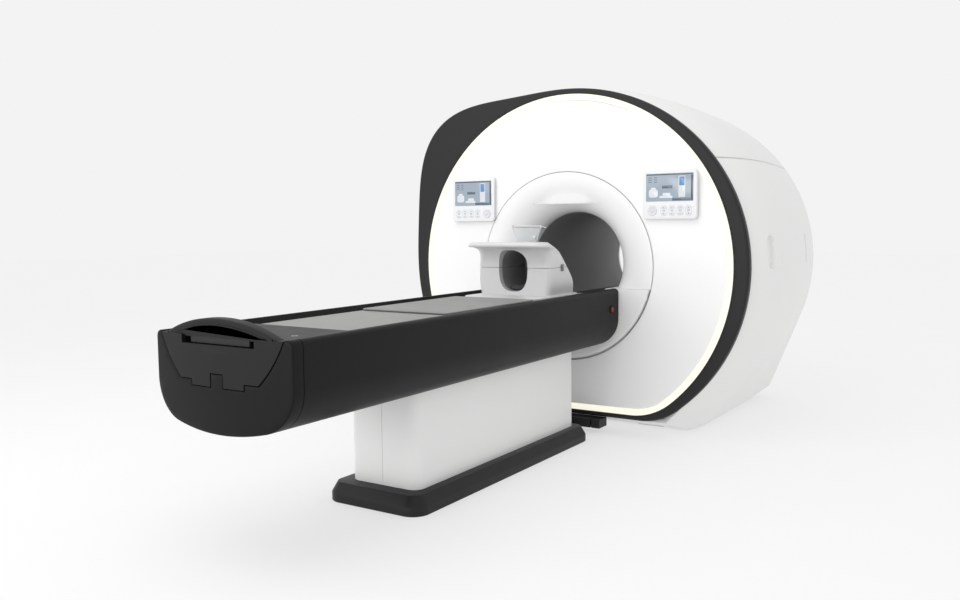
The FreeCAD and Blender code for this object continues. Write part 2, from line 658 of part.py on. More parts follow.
def build_table():
    """The lifting table body and what is built into it."""
    length = TABLE_HEAD_Y - CAP_JOIN_Y - 2
    start = CAP_JOIN_Y + 2
    hull = prism(table_outline(0.0, start), length)
    cavity = prism(table_outline(TABLE_WALL, start + 1), length - 1 - TABLE_WALL)
    tray = prism(trough_outline(-TABLE_WALL, start, False), length)
    trough = prism(trough_outline(0.0, start - 1, False), length + 2)
    rims = box((-400, 400), (start, TABLE_HEAD_Y), (TABLE_TOP_Z - 42, TABLE_TOP_Z))
    shell = hull.cut(cavity).fuse([tray.common(hull), hull.common(rims)]).cut(trough)
    foot_y = PEDESTAL_FOOT_Y - 5
    opening = rounded_plan(PEDESTAL_HALF_WIDTH + 5, foot_y, PEDESTAL_HEAD_Y + 5, PEDESTAL_CORNER + 5, -520)
    shell = shell.cut(Part.Face(opening).extrude(Vector(0, 0, 110)))
    shell = shell.cut(rod(STOP_HOLE, (TABLE_HALF_WIDTH - 20, *STOP_AT), (TABLE_HALF_WIDTH + 20, *STOP_AT)))
    slot_x = (BELT_X - BELT_WIDTH / 2 - 1, BELT_X + BELT_WIDTH / 2 + 1)
    slot_y = (DRIVE_Y[0] - 20, DRIVE_Y[1] + 20)
    write_node("table_shell", shell.cut(box(slot_x, slot_y, (CHANNEL_Z - 20, CHANNEL_Z + 1))))

    cap = prism(table_outline(0.0, CAP_FRONT_Y - 10), CAP_JOIN_Y - CAP_FRONT_Y + 10).common(cap_face_zone())
    cap = cap.cut(prism(trough_outline(0.0, CAP_FRONT_Y - 40), 200))
    write_node("end_cap", cap)

    rail = box((-RAIL_HALF_WIDTH, RAIL_HALF_WIDTH), (start, TABLE_HEAD_Y - 190), (CHANNEL_Z, RAIL_TOP_Z))
    for side in (-1, 1):
        rail = rail.cut(box((side * 24 - 7, side * 24 + 7), (start - 1, 0), (-290, -272)))
    write_node("guide_rail", rail)

    slot_x = (BELT_X - BELT_WIDTH / 2 - 1, BELT_X + BELT_WIDTH / 2 + 1)
    frame = None
    for side in (-1, 1):
        x = side * BEAM_X
        beam = box((x - 20, x + 20), (start + 20, TABLE_HEAD_Y - 30), (-420, -330))
        beam = beam.cut(box((x - 15, x + 15), (start + 19, TABLE_HEAD_Y), (-415, -335)))
        frame = beam if frame is None else frame.fuse(beam)
        for y in COLUMN_Y:
            frame = frame.fuse(box((x - 20, x + 20), (y - 80, y + 80), (-331, -313)))
    for y in COLUMN_Y:
        plate = box((-BEAM_X, BEAM_X), (y - 80, y + 80), (-320, -313))
        frame = frame.fuse(plate.cut(box(slot_x, (y - 90, y + 90), (-330, -300))))
    for y in (-2380, -1900, -200):
        frame = frame.fuse(box((-205, 205), (y, y + 40), (-420, -380)))
    write_node("table_frame", frame)

    inner_columns = []
    outer_columns = []
    for y in COLUMN_Y:
        post = box((-50, 50), (y - 50, y + 50), (-800, -320))
        inner_columns.append(post.cut(box((-42, 42), (y - 42, y + 42), (-801, -328))))
        tube = box((-60, 60), (y - 60, y + 60), (FLOOR_Z + 10, PEDESTAL_TOP_Z - 10))
        room = box((-50.5, 50.5), (y - 50.5, y + 50.5), (FLOOR_Z + 20, PEDESTAL_TOP_Z))
        outer_columns.append(tube.cut(room))
    write_node("lift_column_inner", Part.makeCompound(inner_columns))
    write_node("lift_column_outer", Part.makeCompound(outer_columns))


def build_stop_button():
    """The emergency stop on the table's right flank."""
    x = TABLE_HALF_WIDTH
    collar = rod(STOP_HOLE - 0.4, (x - 12, *STOP_AT), (x + 3, *STOP_AT))
    collar = collar.cut(rod(16, (x - 13, *STOP_AT), (x + 10, *STOP_AT)))
    write_node("stop_collar", collar)
    button = rod(15.5, (x - 4, *STOP_AT), (x + 9, *STOP_AT))
    button = button.fuse(rod(8, (x - 14, *STOP_AT), (x - 3, *STOP_AT)))
    write_node("stop_button", button)


def build_drive():
    """Belt drive under the trough, the support roller at the bore end, and their bearings."""
    brackets = []
    for name, y in (("drive_pulley_foot", DRIVE_Y[0]), ("drive_pulley_head", DRIVE_Y[1])):
        half = BELT_WIDTH / 2
        drum = rod(PULLEY_RADIUS, (BELT_X - half, y, DRIVE_Z), (BELT_X + half, y, DRIVE_Z))
        write_node(name, drum.fuse(rod(4, (BELT_X - 23, y, DRIVE_Z), (BELT_X + 23, y, DRIVE_Z))))
        for x in (BELT_X - 19, BELT_X + 19):
            block = box((x - 4, x + 4), (y - 8, y + 8), (-327, CHANNEL_Z - TABLE_WALL))
            brackets.append(block.cut(rod(4.05, (x - 10, y, DRIVE_Z), (x + 10, y, DRIVE_Z))))

    loop = rounded_side(*DRIVE_Y, DRIVE_Z, PULLEY_RADIUS + 1.6)
    gap = rounded_side(*DRIVE_Y, DRIVE_Z, PULLEY_RADIUS + 0.3)
    reach = Vector(BELT_WIDTH - 4, 0, 0)
    belt = Part.Face(loop).extrude(reach).cut(Part.Face(gap).extrude(reach))
    write_node("drive_belt", belt.translated(Vector(BELT_X - BELT_WIDTH / 2 + 2, 0, 0)))

    motor = rod(26, (143, DRIVE_Y[0], DRIVE_Z), (198, DRIVE_Y[0], DRIVE_Z))
    shaft = rod(5, (BELT_X + 25, DRIVE_Y[0], DRIVE_Z), (144, DRIVE_Y[0], DRIVE_Z))
    write_node("drive_motor", motor.fuse(shaft))

    centre = (ROLLER_Y, CRADLE_BASE_Z - 0.4 - ROLLER_RADIUS)
    roller = rod(ROLLER_RADIUS, (-176, *centre), (176, *centre)).fuse(rod(8, (-194, *centre), (194, *centre)))
    write_node("support_roller", roller)
    for x in (-187, 187):
        plate = box((x - 5, x + 5), (ROLLER_Y - 26, ROLLER_Y + 26), (TROUGH_SHELF_Z, centre[1] + 22))
        brackets.append(plate.cut(rod(8.05, (x - 10, *centre), (x + 10, *centre))))
    write_node("bearing_brackets", Part.makeCompound(brackets))


def rounded_side(foot_y, head_y, z, radius):
    """A stadium in the side view: the path of a belt round two pulleys."""
    at = lambda y, level: Vector(0, y, level)
    return Part.Wire([
        line(at(foot_y, z + radius), at(head_y, z + radius)),
        arc(at(head_y, z + radius), at(head_y + radius, z), at(head_y, z - radius)),
        line(at(head_y, z - radius), at(foot_y, z - radius)),
        arc(at(foot_y, z - radius), at(foot_y - radius, z), at(foot_y, z + radius)),
    ])


# ---------------------------------------------------------------- cradle


def build_cradle():
    """The sliding cradle with its end panel, handle, release, carriage and mat."""
    at = across(CRADLE_FOOT_Y)
    edge_z = -150.0
    keel = 125.0
    section = Part.Wire([
        line(at(-CRADLE_HALF_WIDTH, CRADLE_TOP_Z), at(CRADLE_HALF_WIDTH, CRADLE_TOP_Z)),
        line(at(CRADLE_HALF_WIDTH, CRADLE_TOP_Z), at(CRADLE_HALF_WIDTH, edge_z)),
        arc(at(CRADLE_HALF_WIDTH, edge_z), at(193, -178), at(keel, CRADLE_BASE_Z)),
        line(at(keel, CRADLE_BASE_Z), at(-keel, CRADLE_BASE_Z)),
        arc(at(-keel, CRADLE_BASE_Z), at(-193, -178), at(-CRADLE_HALF_WIDTH, edge_z)),
        line(at(-CRADLE_HALF_WIDTH, edge_z), at(-CRADLE_HALF_WIDTH, CRADLE_TOP_Z)),
    ])
    board = prism(section, CRADLE_HEAD_Y - CRADLE_FOOT_Y)
    write_node("cradle_board", board)

    under = box((-400, 400), (CAP_FRONT_Y - 10, PANEL_BACK_Y), (-400, PANEL_TOP_Z))
    panel = prism(trough_outline(RUNNING_GAP, CAP_FRONT_Y - 20), 200)
    panel = panel.common(cap_face_zone()).common(under)
    deck = prism(trough_outline(RUNNING_GAP + 4, PANEL_BACK_Y - 1, False), CRADLE_FOOT_Y - PANEL_BACK_Y + 0.5)
    deck = deck.common(box((-400, 400), (-2600, -2100), (DECK_BASE_Z, DECK_TOP_Z)))
    pocket = box((-185, 185), (CAP_FRONT_Y - 20, PANEL_BACK_Y - 12), (-156, -120))
    socket = rod(SOCKET_RADIUS, (*SOCKET_AT, DECK_TOP_Z - SOCKET_DEPTH), (*SOCKET_AT, DECK_TOP_Z + 10))
    write_node("cradle_end_panel", panel.fuse(deck).cut(pocket).cut(socket))

    side_on = across(PANEL_BACK_Y - 40)
    outline = Part.Wire([
        arc(side_on(-285, PANEL_TOP_Z), side_on(0, -60), side_on(285, PANEL_TOP_Z)),
        line(side_on(285, PANEL_TOP_Z), side_on(215, PANEL_TOP_Z)),
        arc(side_on(215, PANEL_TOP_Z), side_on(0, -90), side_on(-215, PANEL_TOP_Z)),
        line(side_on(-215, PANEL_TOP_Z), side_on(-285, PANEL_TOP_Z)),
    ])
    write_node("arch_handle", prism(outline, 38).common(cap_face_zone()))

    hinge_y = PANEL_BACK_Y - 36
    paddle = box((-150, 150), (hinge_y - 4, hinge_y + 4), (-153, -128))
    paddle = paddle.fuse(rod(3, (-184.5, hinge_y, -131), (184.5, hinge_y, -131)))
    write_node("release_paddle", paddle)

    length = (CARRIAGE_Y - 110, CARRIAGE_Y + 110)
    carriage = box((-118, 50), length, (CHANNEL_Z + 5, RAIL_TOP_Z + 16))
    carriage = carriage.fuse(box((-118, 118), length, (RAIL_TOP_Z + 1, RAIL_TOP_Z + 16)))
    along = (CARRIAGE_Y - 90, CARRIAGE_Y + 90)
    carriage = carriage.fuse(box((-60, 60), along, (RAIL_TOP_Z + 15, CRADLE_BASE_Z)))
    over_rail = (-RAIL_HALF_WIDTH - 1, RAIL_HALF_WIDTH + 1)
    carriage = carriage.cut(box(over_rail, (-2600, -2100), (-310, RAIL_TOP_Z + 1)))
    clamp_y = (CARRIAGE_Y - 20, CARRIAGE_Y + 20)
    clamp = box((BELT_X - 8, BELT_X + 8), clamp_y, (CHANNEL_Z - 1.5, RAIL_TOP_Z + 2))
    write_node("cradle_carriage", carriage.fuse(clamp))

    mat = rounded_plan(CRADLE_HALF_WIDTH - 4, MAT_FOOT_Y, MAT_HEAD_Y, 18, CRADLE_TOP_Z + 0.1)
    write_node("body_mat", Part.Face(mat).extrude(Vector(0, 0, MAT_THICKNESS)))


# ---------------------------------------------------------------- head coil


def coil_block():
    """The coil's outer form: flat in front, round behind, smaller and further forward towards the top."""
    outlines = []
    for z, half, turn_y, depth in COIL_LEVELS:
        rear = Part.Ellipse(Vector(half, turn_y, z), Vector(0, turn_y + depth, z), Vector(0, turn_y, z))
        if depth > half:
            rear = Part.Ellipse(Vector(0, turn_y + depth, z), Vector(half, turn_y, z), Vector(0, turn_y, z))
        ends = (Vector(half, turn_y, z), Vector(-half, turn_y, z))
        start, finish = rear.parameter(ends[0]), rear.parameter(ends[1])
        round_end = Part.ArcOfEllipse(rear, start, finish).toShape()
        if round_end.BoundBox.YMax < turn_y + depth / 2:
            round_end = Part.ArcOfEllipse(rear, finish, start).toShape()
        front = (Vector(half, COIL_FACE_Y, z), Vector(-half, COIL_FACE_Y, z))
        outlines.append(Part.Wire([
            line(front[0], ends[0]),
            round_end,
            line(ends[1], front[1]),
            line(front[1], front[0]),
        ]))
    return Part.makeLoft(outlines, True, False)


def brow_outline(z, half, front):
    """One level of the brow that flares out over the face, narrower where it meets the coil."""
    corner = 0.2 * half
    root = min(half, 205.0) - 5.0
    corners = [
        (-half, front + corner), (-half + corner, front), (half - corner, front), (half, front + corner),
        (root, -540), (-root, -540),
    ]
    return closed(corners, lambda x, y: Vector(x, y, z))


def coil_cavity(grow):
    """The room for the head: an upright ellipse carried back, with a round crown."""
    wide, tall = COIL_OPENING
    start = VISOR_FRONT_Y - 10
    mouth = Part.Ellipse(Vector(0, start, COIL_OPENING_Z + tall + grow),
                         Vector(wide + grow, start, COIL_OPENING_Z),
                         Vector(0, start, COIL_OPENING_Z))
    return prism(Part.Wire([mouth.toShape()]), -310 + grow - start)


def build_coil():
    """The two halves of the head coil, latches, cushion and mirror."""
    below = box((-400, 400), (-1000, 0), (-300, COIL_SPLIT_Z - 0.5))
    above = box((-400, 400), (-1000, 0), (COIL_SPLIT_Z + 0.5, 400))
    body = coil_block().cut(coil_cavity(0.0))
    tongue = rounded_plan(COIL_BASE_HALF_WIDTH, COIL_BASE_FOOT_Y, -230, COIL_BASE_CORNER, CRADLE_TOP_Z + 0.1)
    base = Part.Face(tongue).extrude(Vector(0, 0, 9))
    room = coil_cavity(0.0).common(box((-300, 300), (-900, -200), (-120, 300)))
    write_node("coil_lower_shell", body.common(below).fuse(base.cut(room)))

    brow = Part.makeLoft([brow_outline(*level) for level in COIL_BROW], True, True)
    z, half, front = COIL_BROW[-1]
    visor = Part.Face(brow_outline(z, half, VISOR_FRONT_Y)).extrude(Vector(0, 0, COIL_TOP_Z - 0.5 - z))
    upper = body.common(above).fuse([brow.cut(coil_cavity(0.0)), visor])
    write_node("coil_upper_shell", upper)

    for word, side in (("left", -1), ("right", 1)):
        near = side * (COIL_HALF_WIDTH + 1)
        far = side * (COIL_HALF_WIDTH + 7)
        tab = box(sorted((near, far)), LATCH_Y, LATCH_Z)
        hinge_x = (near + far) / 2
        hinge = rod(3, (hinge_x, LATCH_Y[0] - 2, LATCH_Z[0]), (hinge_x, LATCH_Y[1] + 2, LATCH_Z[0]))
        write_node("coil_latch_" + word, tab.fuse(hinge))

    cushion = rounded_plan(60, -570, -330, 40, -105)
    pad = Part.Face(cushion).extrude(Vector(0, 0, 22))
    write_node("head_cushion", pad.common(coil_cavity(-1.0)))

    pivot = (-449.5, 239.5)
    stem_foot = COIL_TOP_Z + 0.1
    stem = prism(closed([(-62, stem_foot), (62, stem_foot), (89, 233), (-89, 233)], across(-452)), 5)
    for side in (-1, 1):
        cheek = box(sorted((side * 86, side * 89)), (-456, -443), (226, 246))
        stem = stem.fuse(cheek.cut(rod(4.05, (side * 80, *pivot), (side * 95, *pivot))))
    write_node("mirror_stem", stem)

    glass = box((-85.5, 85.5), (-446, -376), (236, 243)).fuse(rod(4, (-89, *pivot), (89, *pivot)))
    glass.rotate(Vector(0, *pivot), Vector(1, 0, 0), -8)
    write_node("mirror", glass)
    knob = rod(9, (52, -464, 182), (52, -453.5, 182)).fuse(rod(3, (52, -455, 182), (52, -452.3, 182)))
    write_node("mirror_knob", knob)


# ---------------------------------------------------------------- pedestal


def build_pedestal():
    """Plinth, pedestal covers and the bracket that locates the table on the gantry."""
    half, foot_y, head_y, corner = PLINTH_PLAN
    foot = rounded_plan(half, foot_y, head_y, corner, FLOOR_Z)
    rim = rounded_plan(half, foot_y, head_y, corner, PLINTH_RIM_Z)
    crown = rounded_plan(
        half - PLINTH_SLOPE,
        foot_y + PLINTH_SLOPE,
        head_y - PLINTH_SLOPE,
        corner - 18,
        PLINTH_TOP_Z,
    )
    plinth = Part.makeLoft([foot, rim], True, True).fuse(Part.makeLoft([rim, crown], True, True))
    well = box((-165, 165), (-1690, -270), (FLOOR_Z + 10, PLINTH_TOP_Z + 10))
    write_node("plinth", plinth.cut(well))

    height = PEDESTAL_TOP_Z - PLINTH_TOP_Z
    skins = []
    for inset in (0, PEDESTAL_WALL):
        plan = rounded_plan(
            PEDESTAL_HALF_WIDTH - inset,
            PEDESTAL_FOOT_Y + inset,
            PEDESTAL_HEAD_Y - inset,
            PEDESTAL_CORNER - inset,
            PLINTH_TOP_Z,
        )
        skins.append(Part.Face(plan).extrude(Vector(0, 0, height)))
    wall = skins[0].cut(skins[1])
    for word, x in (("left", (-300, -0.75)), ("right", (0.75, 300))):
        write_node("pedestal_cover_" + word, wall.common(box(x, (-1800, -200), (-1000, 0))))

    bar = box((-250, 250), (-60, 40), (-934, -884))
    for side in (-1, 1):
        bar = bar.cut(box((side * 195 - 4, side * 195 + 4), (-80, -20), (-950, -870)))
    arm = box((-90, 90), (-195, -59), (-950, -930))
    write_node("dock_bracket", bar.fuse(arm))


os.makedirs("parts", exist_ok=True)
build_gantry_covers()
build_bore()
build_magnet()
build_panel(-1, PANEL_LEFT_X)
build_panel(1, PANEL_RIGHT_X)
build_table()
build_stop_button()
build_drive()
build_cradle()
build_coil()
build_pedestal()
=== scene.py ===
"""Looks of a whole-body magnetic resonance scanner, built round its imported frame.

Every piece is worked out in metres about the centre of the light ring, in the plane of its front
edge: x to the right as someone at the foot of the table sees it, y into the bore, z up. make_piece()
adds ORIGIN, which is where that centre stands in the frame.
"""

import json
import logging
import math
from dataclasses import dataclass
from enum import Enum
from typing import Callable, Sequence

import bmesh
import bpy
import numpy as np
from mathutils import Matrix, Vector
from mathutils.geometry import delaunay_2d_cdt

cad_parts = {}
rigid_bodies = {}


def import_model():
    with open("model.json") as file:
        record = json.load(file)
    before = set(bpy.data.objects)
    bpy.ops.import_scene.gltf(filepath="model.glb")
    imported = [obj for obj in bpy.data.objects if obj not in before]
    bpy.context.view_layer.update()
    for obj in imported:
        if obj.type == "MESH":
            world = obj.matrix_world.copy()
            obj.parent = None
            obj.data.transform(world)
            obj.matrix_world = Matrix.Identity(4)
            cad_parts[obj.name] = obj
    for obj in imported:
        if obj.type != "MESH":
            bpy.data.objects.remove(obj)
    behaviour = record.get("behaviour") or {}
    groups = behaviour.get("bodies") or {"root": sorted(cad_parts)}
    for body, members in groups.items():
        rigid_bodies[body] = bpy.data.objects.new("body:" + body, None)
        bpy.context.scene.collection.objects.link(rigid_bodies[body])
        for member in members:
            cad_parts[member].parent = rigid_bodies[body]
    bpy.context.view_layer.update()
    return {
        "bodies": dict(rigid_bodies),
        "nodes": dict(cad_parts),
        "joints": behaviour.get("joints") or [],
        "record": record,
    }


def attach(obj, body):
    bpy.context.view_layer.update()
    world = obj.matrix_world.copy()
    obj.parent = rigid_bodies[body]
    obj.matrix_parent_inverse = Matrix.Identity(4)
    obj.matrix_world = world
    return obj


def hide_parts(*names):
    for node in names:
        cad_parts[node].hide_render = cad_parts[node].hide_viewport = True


Array = np.ndarray
Edge = Callable[[Array], Array]
Tree = bpy.types.NodeTree
Socket = bpy.types.NodeSocket
Piece = bpy.types.Object
LOG = logging.getLogger("scanner")
ORIGIN = np.array([0.0, 0.510, 0.965])
MM = 0.001
NO_QUADS = np.empty((0, 4), int)


class Body(Enum):
    """The moving parts that a piece can ride on."""

    GANTRY = "gantry"
    TABLE = "table"
    CRADLE = "cradle"
    COIL_TOP = "coil_top"
    MIRROR = "mirror_plate"
    KNOB = "knob"
    STOP = "stop"
    PAD_LEFT = "pad_left"
    PAD_RIGHT = "pad_right"


class Side(Enum):
    """The two sides of the scanner, as seen from the foot of the table."""

    LEFT = -1
    RIGHT = 1


class Lie(Enum):
    """How a flat outline lies: the axes that its two numbers and its thickness run along."""

    PLAN = (0, 1, 2)
    UPRIGHT = (0, 2, 1)
    SIDEWAYS = (1, 2, 0)

    def place(self, loop: Array, depth: float | Array) -> Array:
        """Put an outline (..., 2) in space at one depth, or at a depth for each point."""
        points = np.empty(loop.shape[:-1] + (3,))
        points[..., self.value[0]] = loop[..., 0]
        points[..., self.value[1]] = loop[..., 1]
        points[..., self.value[2]] = depth
        return points


# ---- outlines


def without_repeats(loop: Array) -> Array:
    """Drop each point of a closed outline that lies on the one before it."""
    step = np.linalg.norm(loop - np.roll(loop, 1, axis=0), axis=1)
    return loop[step > 1e-7]


def full_turn(count: int, start: float = 0.0) -> Array:
    """Even angles round a whole turn."""
    return np.linspace(start, start + 2 * np.pi, count, endpoint=False)


def compass(angle: Array) -> Array:
    """Points on the unit circle at these angles."""
    return np.stack([np.cos(angle), np.sin(angle)], -1)


def filleted(corners: Sequence[tuple[float, float]], radii: float | Sequence[float], steps: int = 8) -> Array:
    """Round every corner of a closed polygon.

    Each arc touches both sides, so its centre is radius / sin(half the corner's angle) along the
    corner's bisector, and it starts radius / tan(half the angle) back from the corner.

    Args:
        corners: the polygon's corners in order.
        radii: one radius, or one for each corner.
        steps: points on each arc.

    Returns:
        The outline as an array of points (count, 2).
    """
    at = np.asarray(corners, float)
    radius = np.broadcast_to(np.asarray(radii, float), len(at)) + 1e-9
    back = np.roll(at, 1, axis=0) - at
    ahead = np.roll(at, -1, axis=0) - at
    back /= np.linalg.norm(back, axis=1, keepdims=True)
    ahead /= np.linalg.norm(ahead, axis=1, keepdims=True)
    half = np.arccos(np.clip((back * ahead).sum(1), -1, 1)) / 2
    bisector = (back + ahead) / np.linalg.norm(back + ahead, axis=1, keepdims=True)
    centre = at + bisector * (radius / np.sin(half))[:, None]
    reach = (radius / np.tan(half))[:, None]
    start = at + back * reach - centre
    end = at + ahead * reach - centre
    first = np.arctan2(start[:, 1], start[:, 0])
    sweep = (np.arctan2(end[:, 1], end[:, 0]) - first + np.pi) % (2 * np.pi) - np.pi
    angle = first[:, None] + sweep[:, None] * np.linspace(0, 1, steps)
    arcs = centre[:, None] + radius[:, None, None] * compass(angle)
    return without_repeats(arcs.reshape(-1, 2))


def rounded_rectangle(u: tuple[float, float], v: tuple[float, float], corner: float, steps: int = 10) -> Array:
    """A rectangle between two limits each way, with round corners."""
    return filleted([(u[0], v[0]), (u[1], v[0]), (u[1], v[1]), (u[0], v[1])], corner, steps)


def circle(centre: tuple[float, float], radius: float, count: int = 64) -> Array:
    """A circle: centre + radius (cos, sin) at even angles."""
    return np.asarray(centre) + radius * compass(full_turn(count))


def arc_through(start: Sequence[float], middle: Sequence[float], end: Sequence[float], count: int = 24) -> Array:
    """Points on the arc through three points.

    The centre is equally far from all three, which is two linear equations in its place.
    """
    a, b, c = (np.asarray(point, float) for point in (start, middle, end))
    centre = np.linalg.solve(2 * np.array([b - a, c - a]), [b @ b - a @ a, c @ c - a @ a])
    angles = [math.atan2(*(point - centre)[::-1]) for point in (a, b, c)]
    sweep = (angles[2] - angles[0]) % (2 * math.pi)
    if (angles[1] - angles[0]) % (2 * math.pi) > sweep:
        sweep -= 2 * math.pi
    angle = angles[0] + sweep * np.linspace(0, 1, count)
    return centre + np.linalg.norm(a - centre) * compass(angle)


def turned_anticlockwise(loop: Array) -> Array:
    """The same outline in anticlockwise order, by the sign of its area."""
    after = np.roll(loop, -1, axis=0)
    area = (loop[:, 0] * after[:, 1] - loop[:, 1] * after[:, 0]).sum()
    return loop if area > 0 else loop[::-1]


def inset(loop: Array, distance: float) -> Array:
    """Move an anticlockwise outline inwards.

    Each point moves against the mean of its two edges' outward normals, and further at a corner, by
    one over the cosine of half its turn.
    """
    edge = np.roll(loop, -1, axis=0) - loop
    normal = np.stack([edge[:, 1], -edge[:, 0]], -1) / np.linalg.norm(edge, axis=1, keepdims=True)
    both = normal + np.roll(normal, 1, axis=0)
    mean = both / np.linalg.norm(both, axis=1, keepdims=True)
    stretch = 1 / np.maximum((mean * normal).sum(1, keepdims=True), 0.6)
    return loop - mean * stretch * distance


def soft_rings(low: float, high: float, radius: float, steps: int = 4) -> list[tuple[float, float]]:
    """Insets and depths of a slab's rings, with a quarter round of one radius at both of its faces."""
    turn = np.linspace(0, np.pi / 2, steps)
    inwards = radius * (1 - np.sin(turn))
    rise = radius * (1 - np.cos(turn))
    near = list(zip(inwards, low + rise))
    far = list(zip(inwards[::-1], (high - rise)[::-1]))
    return near + far


def spline(knots: Sequence[float], values: Sequence[Sequence[float]], at: Array) -> Array:
    """Natural cubic spline through rows of values.

    Between two knots it is a cubic. Slope and bend agree where two cubics meet, and the bend is
    nothing at both ends, which gives one linear equation for the bend at each knot.

    Args:
        knots: where the rows of values are.
        values: one row for each knot.
        at: where to read the spline, of any shape.

    Returns:
        An array of at's shape with one more axis, the length of a row.
    """
    x = np.asarray(knots, float)
    rows = np.asarray(values, float)
    gap = np.diff(x)
    slope = np.diff(rows, axis=0) / gap[:, None]
    inner = np.arange(1, len(x) - 1)
    system = np.eye(len(x))
    system[inner, inner - 1] = gap[:-1]
    system[inner, inner] = 2 * (gap[:-1] + gap[1:])
    system[inner, inner + 1] = gap[1:]
    right = np.zeros_like(rows)
    right[1:-1] = 6 * np.diff(slope, axis=0)
    bend = np.linalg.solve(system, right)
    k = np.clip(np.searchsorted(x, at, side="right") - 1, 0, len(x) - 2)
    t = (np.clip(at, x[0], x[-1]) - x[k])[..., None]
    h = gap[k][..., None]
    start = slope[k] - h * (2 * bend[k] + bend[k + 1]) / 6
    return rows[k] + t * start + t * t * bend[k] / 2 + t ** 3 * (bend[k + 1] - bend[k]) / (6 * h)


def smoothstep(share: Array) -> Array:
    """0 below 0, 1 above 1, and 3s^2 - 2s^3 between."""
    s = np.clip(share, 0, 1)
    return s * s * (3 - 2 * s)


def graded(count: int, windows: Sequence[tuple[float, float]], weight: float = 4.0) -> Array:
    """Numbers from 0 to 1 that lie closer together in some windows.

    The density is 1, or weight inside a window. Its running total is turned round, so equal steps of
    the total give the numbers.
    """
    fine = np.linspace(0, 1, 2001)
    density = np.ones_like(fine)
    for low, high in windows:
        density[(fine >= low) & (fine <= high)] = weight
    total = np.concatenate([[0], np.cumsum((density[1:] + density[:-1]) / 2)])
    return np.interp(np.linspace(0, total[-1], count), total, fine)


# ---- surfaces


@dataclass
class Surface:
    """A mesh in the making: its points, its four-sided faces and its other faces."""

    points: Array
    quads: Array
    caps: list[Array]

    def __add__(self, other: "Surface") -> "Surface":
        """Both surfaces as one."""
        shift = len(self.points)
        return Surface(
            np.vstack([self.points, other.points]),
            np.vstack([self.quads, other.quads + shift]),
            self.caps + [cap + shift for cap in other.caps],
        )

    def turned(self) -> "Surface":
        """The same surface facing the other way."""
        return Surface(self.points, self.quads[:, ::-1], [cap[::-1] for cap in self.caps])

    def away_from(self, centre: Sequence[float]) -> "Surface":
        """The same surface, facing away from a point: turned if its quads mostly face it."""
        corners = self.points[self.quads]
        normal = np.cross(corners[:, 2] - corners[:, 0], corners[:, 3] - corners[:, 1])
        outwards = (normal * (corners.mean(1) - np.asarray(centre))).sum()
        return self if outwards > 0 else self.turned()


def grid(points: Array, wrap: bool = False) -> Surface:
    """A surface from points (rows, columns, 3), its last column joined to its first if it wraps."""
    rows, columns = points.shape[:2]
    index = np.arange(rows * columns).reshape(rows, columns)
    if wrap:
        index = np.hstack([index, index[:, :1]])
    quads = np.stack([index[:-1, :-1], index[:-1, 1:], index[1:, 1:], index[1:, :-1]], -1)
    return Surface(points.reshape(-1, 3), quads.reshape(-1, 4), [])


def capped(points: Array) -> Surface:
    """A closed solid from rings of points (rows, columns, 3), with a flat face over both ends."""
    surface = grid(points, wrap=True)
    rows, columns = points.shape[:2]
    first = np.arange(columns)
    surface.caps = [first[::-1], first + (rows - 1) * columns]
    return surface


def slab(
    loop: Array,
    rings: Sequence[tuple[float, float]],
    lie: Lie = Lie.UPRIGHT,
    bow: Edge | None = None,
) -> Surface:
    """A solid from one outline, repeated at several insets and depths.

    Args:
        loop: the outline (count, 2).
        rings: inset and depth of each repeat.
        lie: how the outline lies.
        bow: what is added to the depth of the rings' first half, from the outline's first number.

    Returns:
        The closed solid.
    """
    line = turned_anticlockwise(without_repeats(loop))
    rows = []
    for number, (inwards, depth) in enumerate(rings):
        moved = inset(line, inwards)
        bent = bow(moved[:, 0]) if bow and number < len(rings) / 2 else 0.0
        rows.append(lie.place(moved, depth + bent))
    return capped(np.stack(rows))


def wrapped(points: Array) -> Surface:
    """A grid that closes on itself both ways."""
    return grid(np.concatenate([points, points[:1]]), wrap=True)


def band(loop: Array, steps: Sequence[tuple[float, float]], lie: Lie) -> Surface:
    """A ring-shaped solid: an outline at several insets and depths, the last joined to the first."""
    line = turned_anticlockwise(loop)
    rings = [lie.place(inset(line, inwards), depth) for inwards, depth in steps]
    return wrapped(np.stack(rings))


def about_bore(radius: Array, bearing: Array, depth: Array, centre_z: Array | float = 0.0) -> Array:
    """Points about the bore axis: x = r cos, z = r sin."""
    return np.stack([radius * np.cos(bearing), depth, centre_z + radius * np.sin(bearing)], -1)


def closed_ring(profile: Array, count: int, centre_z: float = 0.0) -> Surface:
    """A closed profile of radius and depth, turned about the bore axis."""
    depth = np.broadcast_to(profile[:, 1], (count, len(profile)))
    return wrapped(about_bore(profile[:, 0], full_turn(count)[:, None], depth, centre_z))


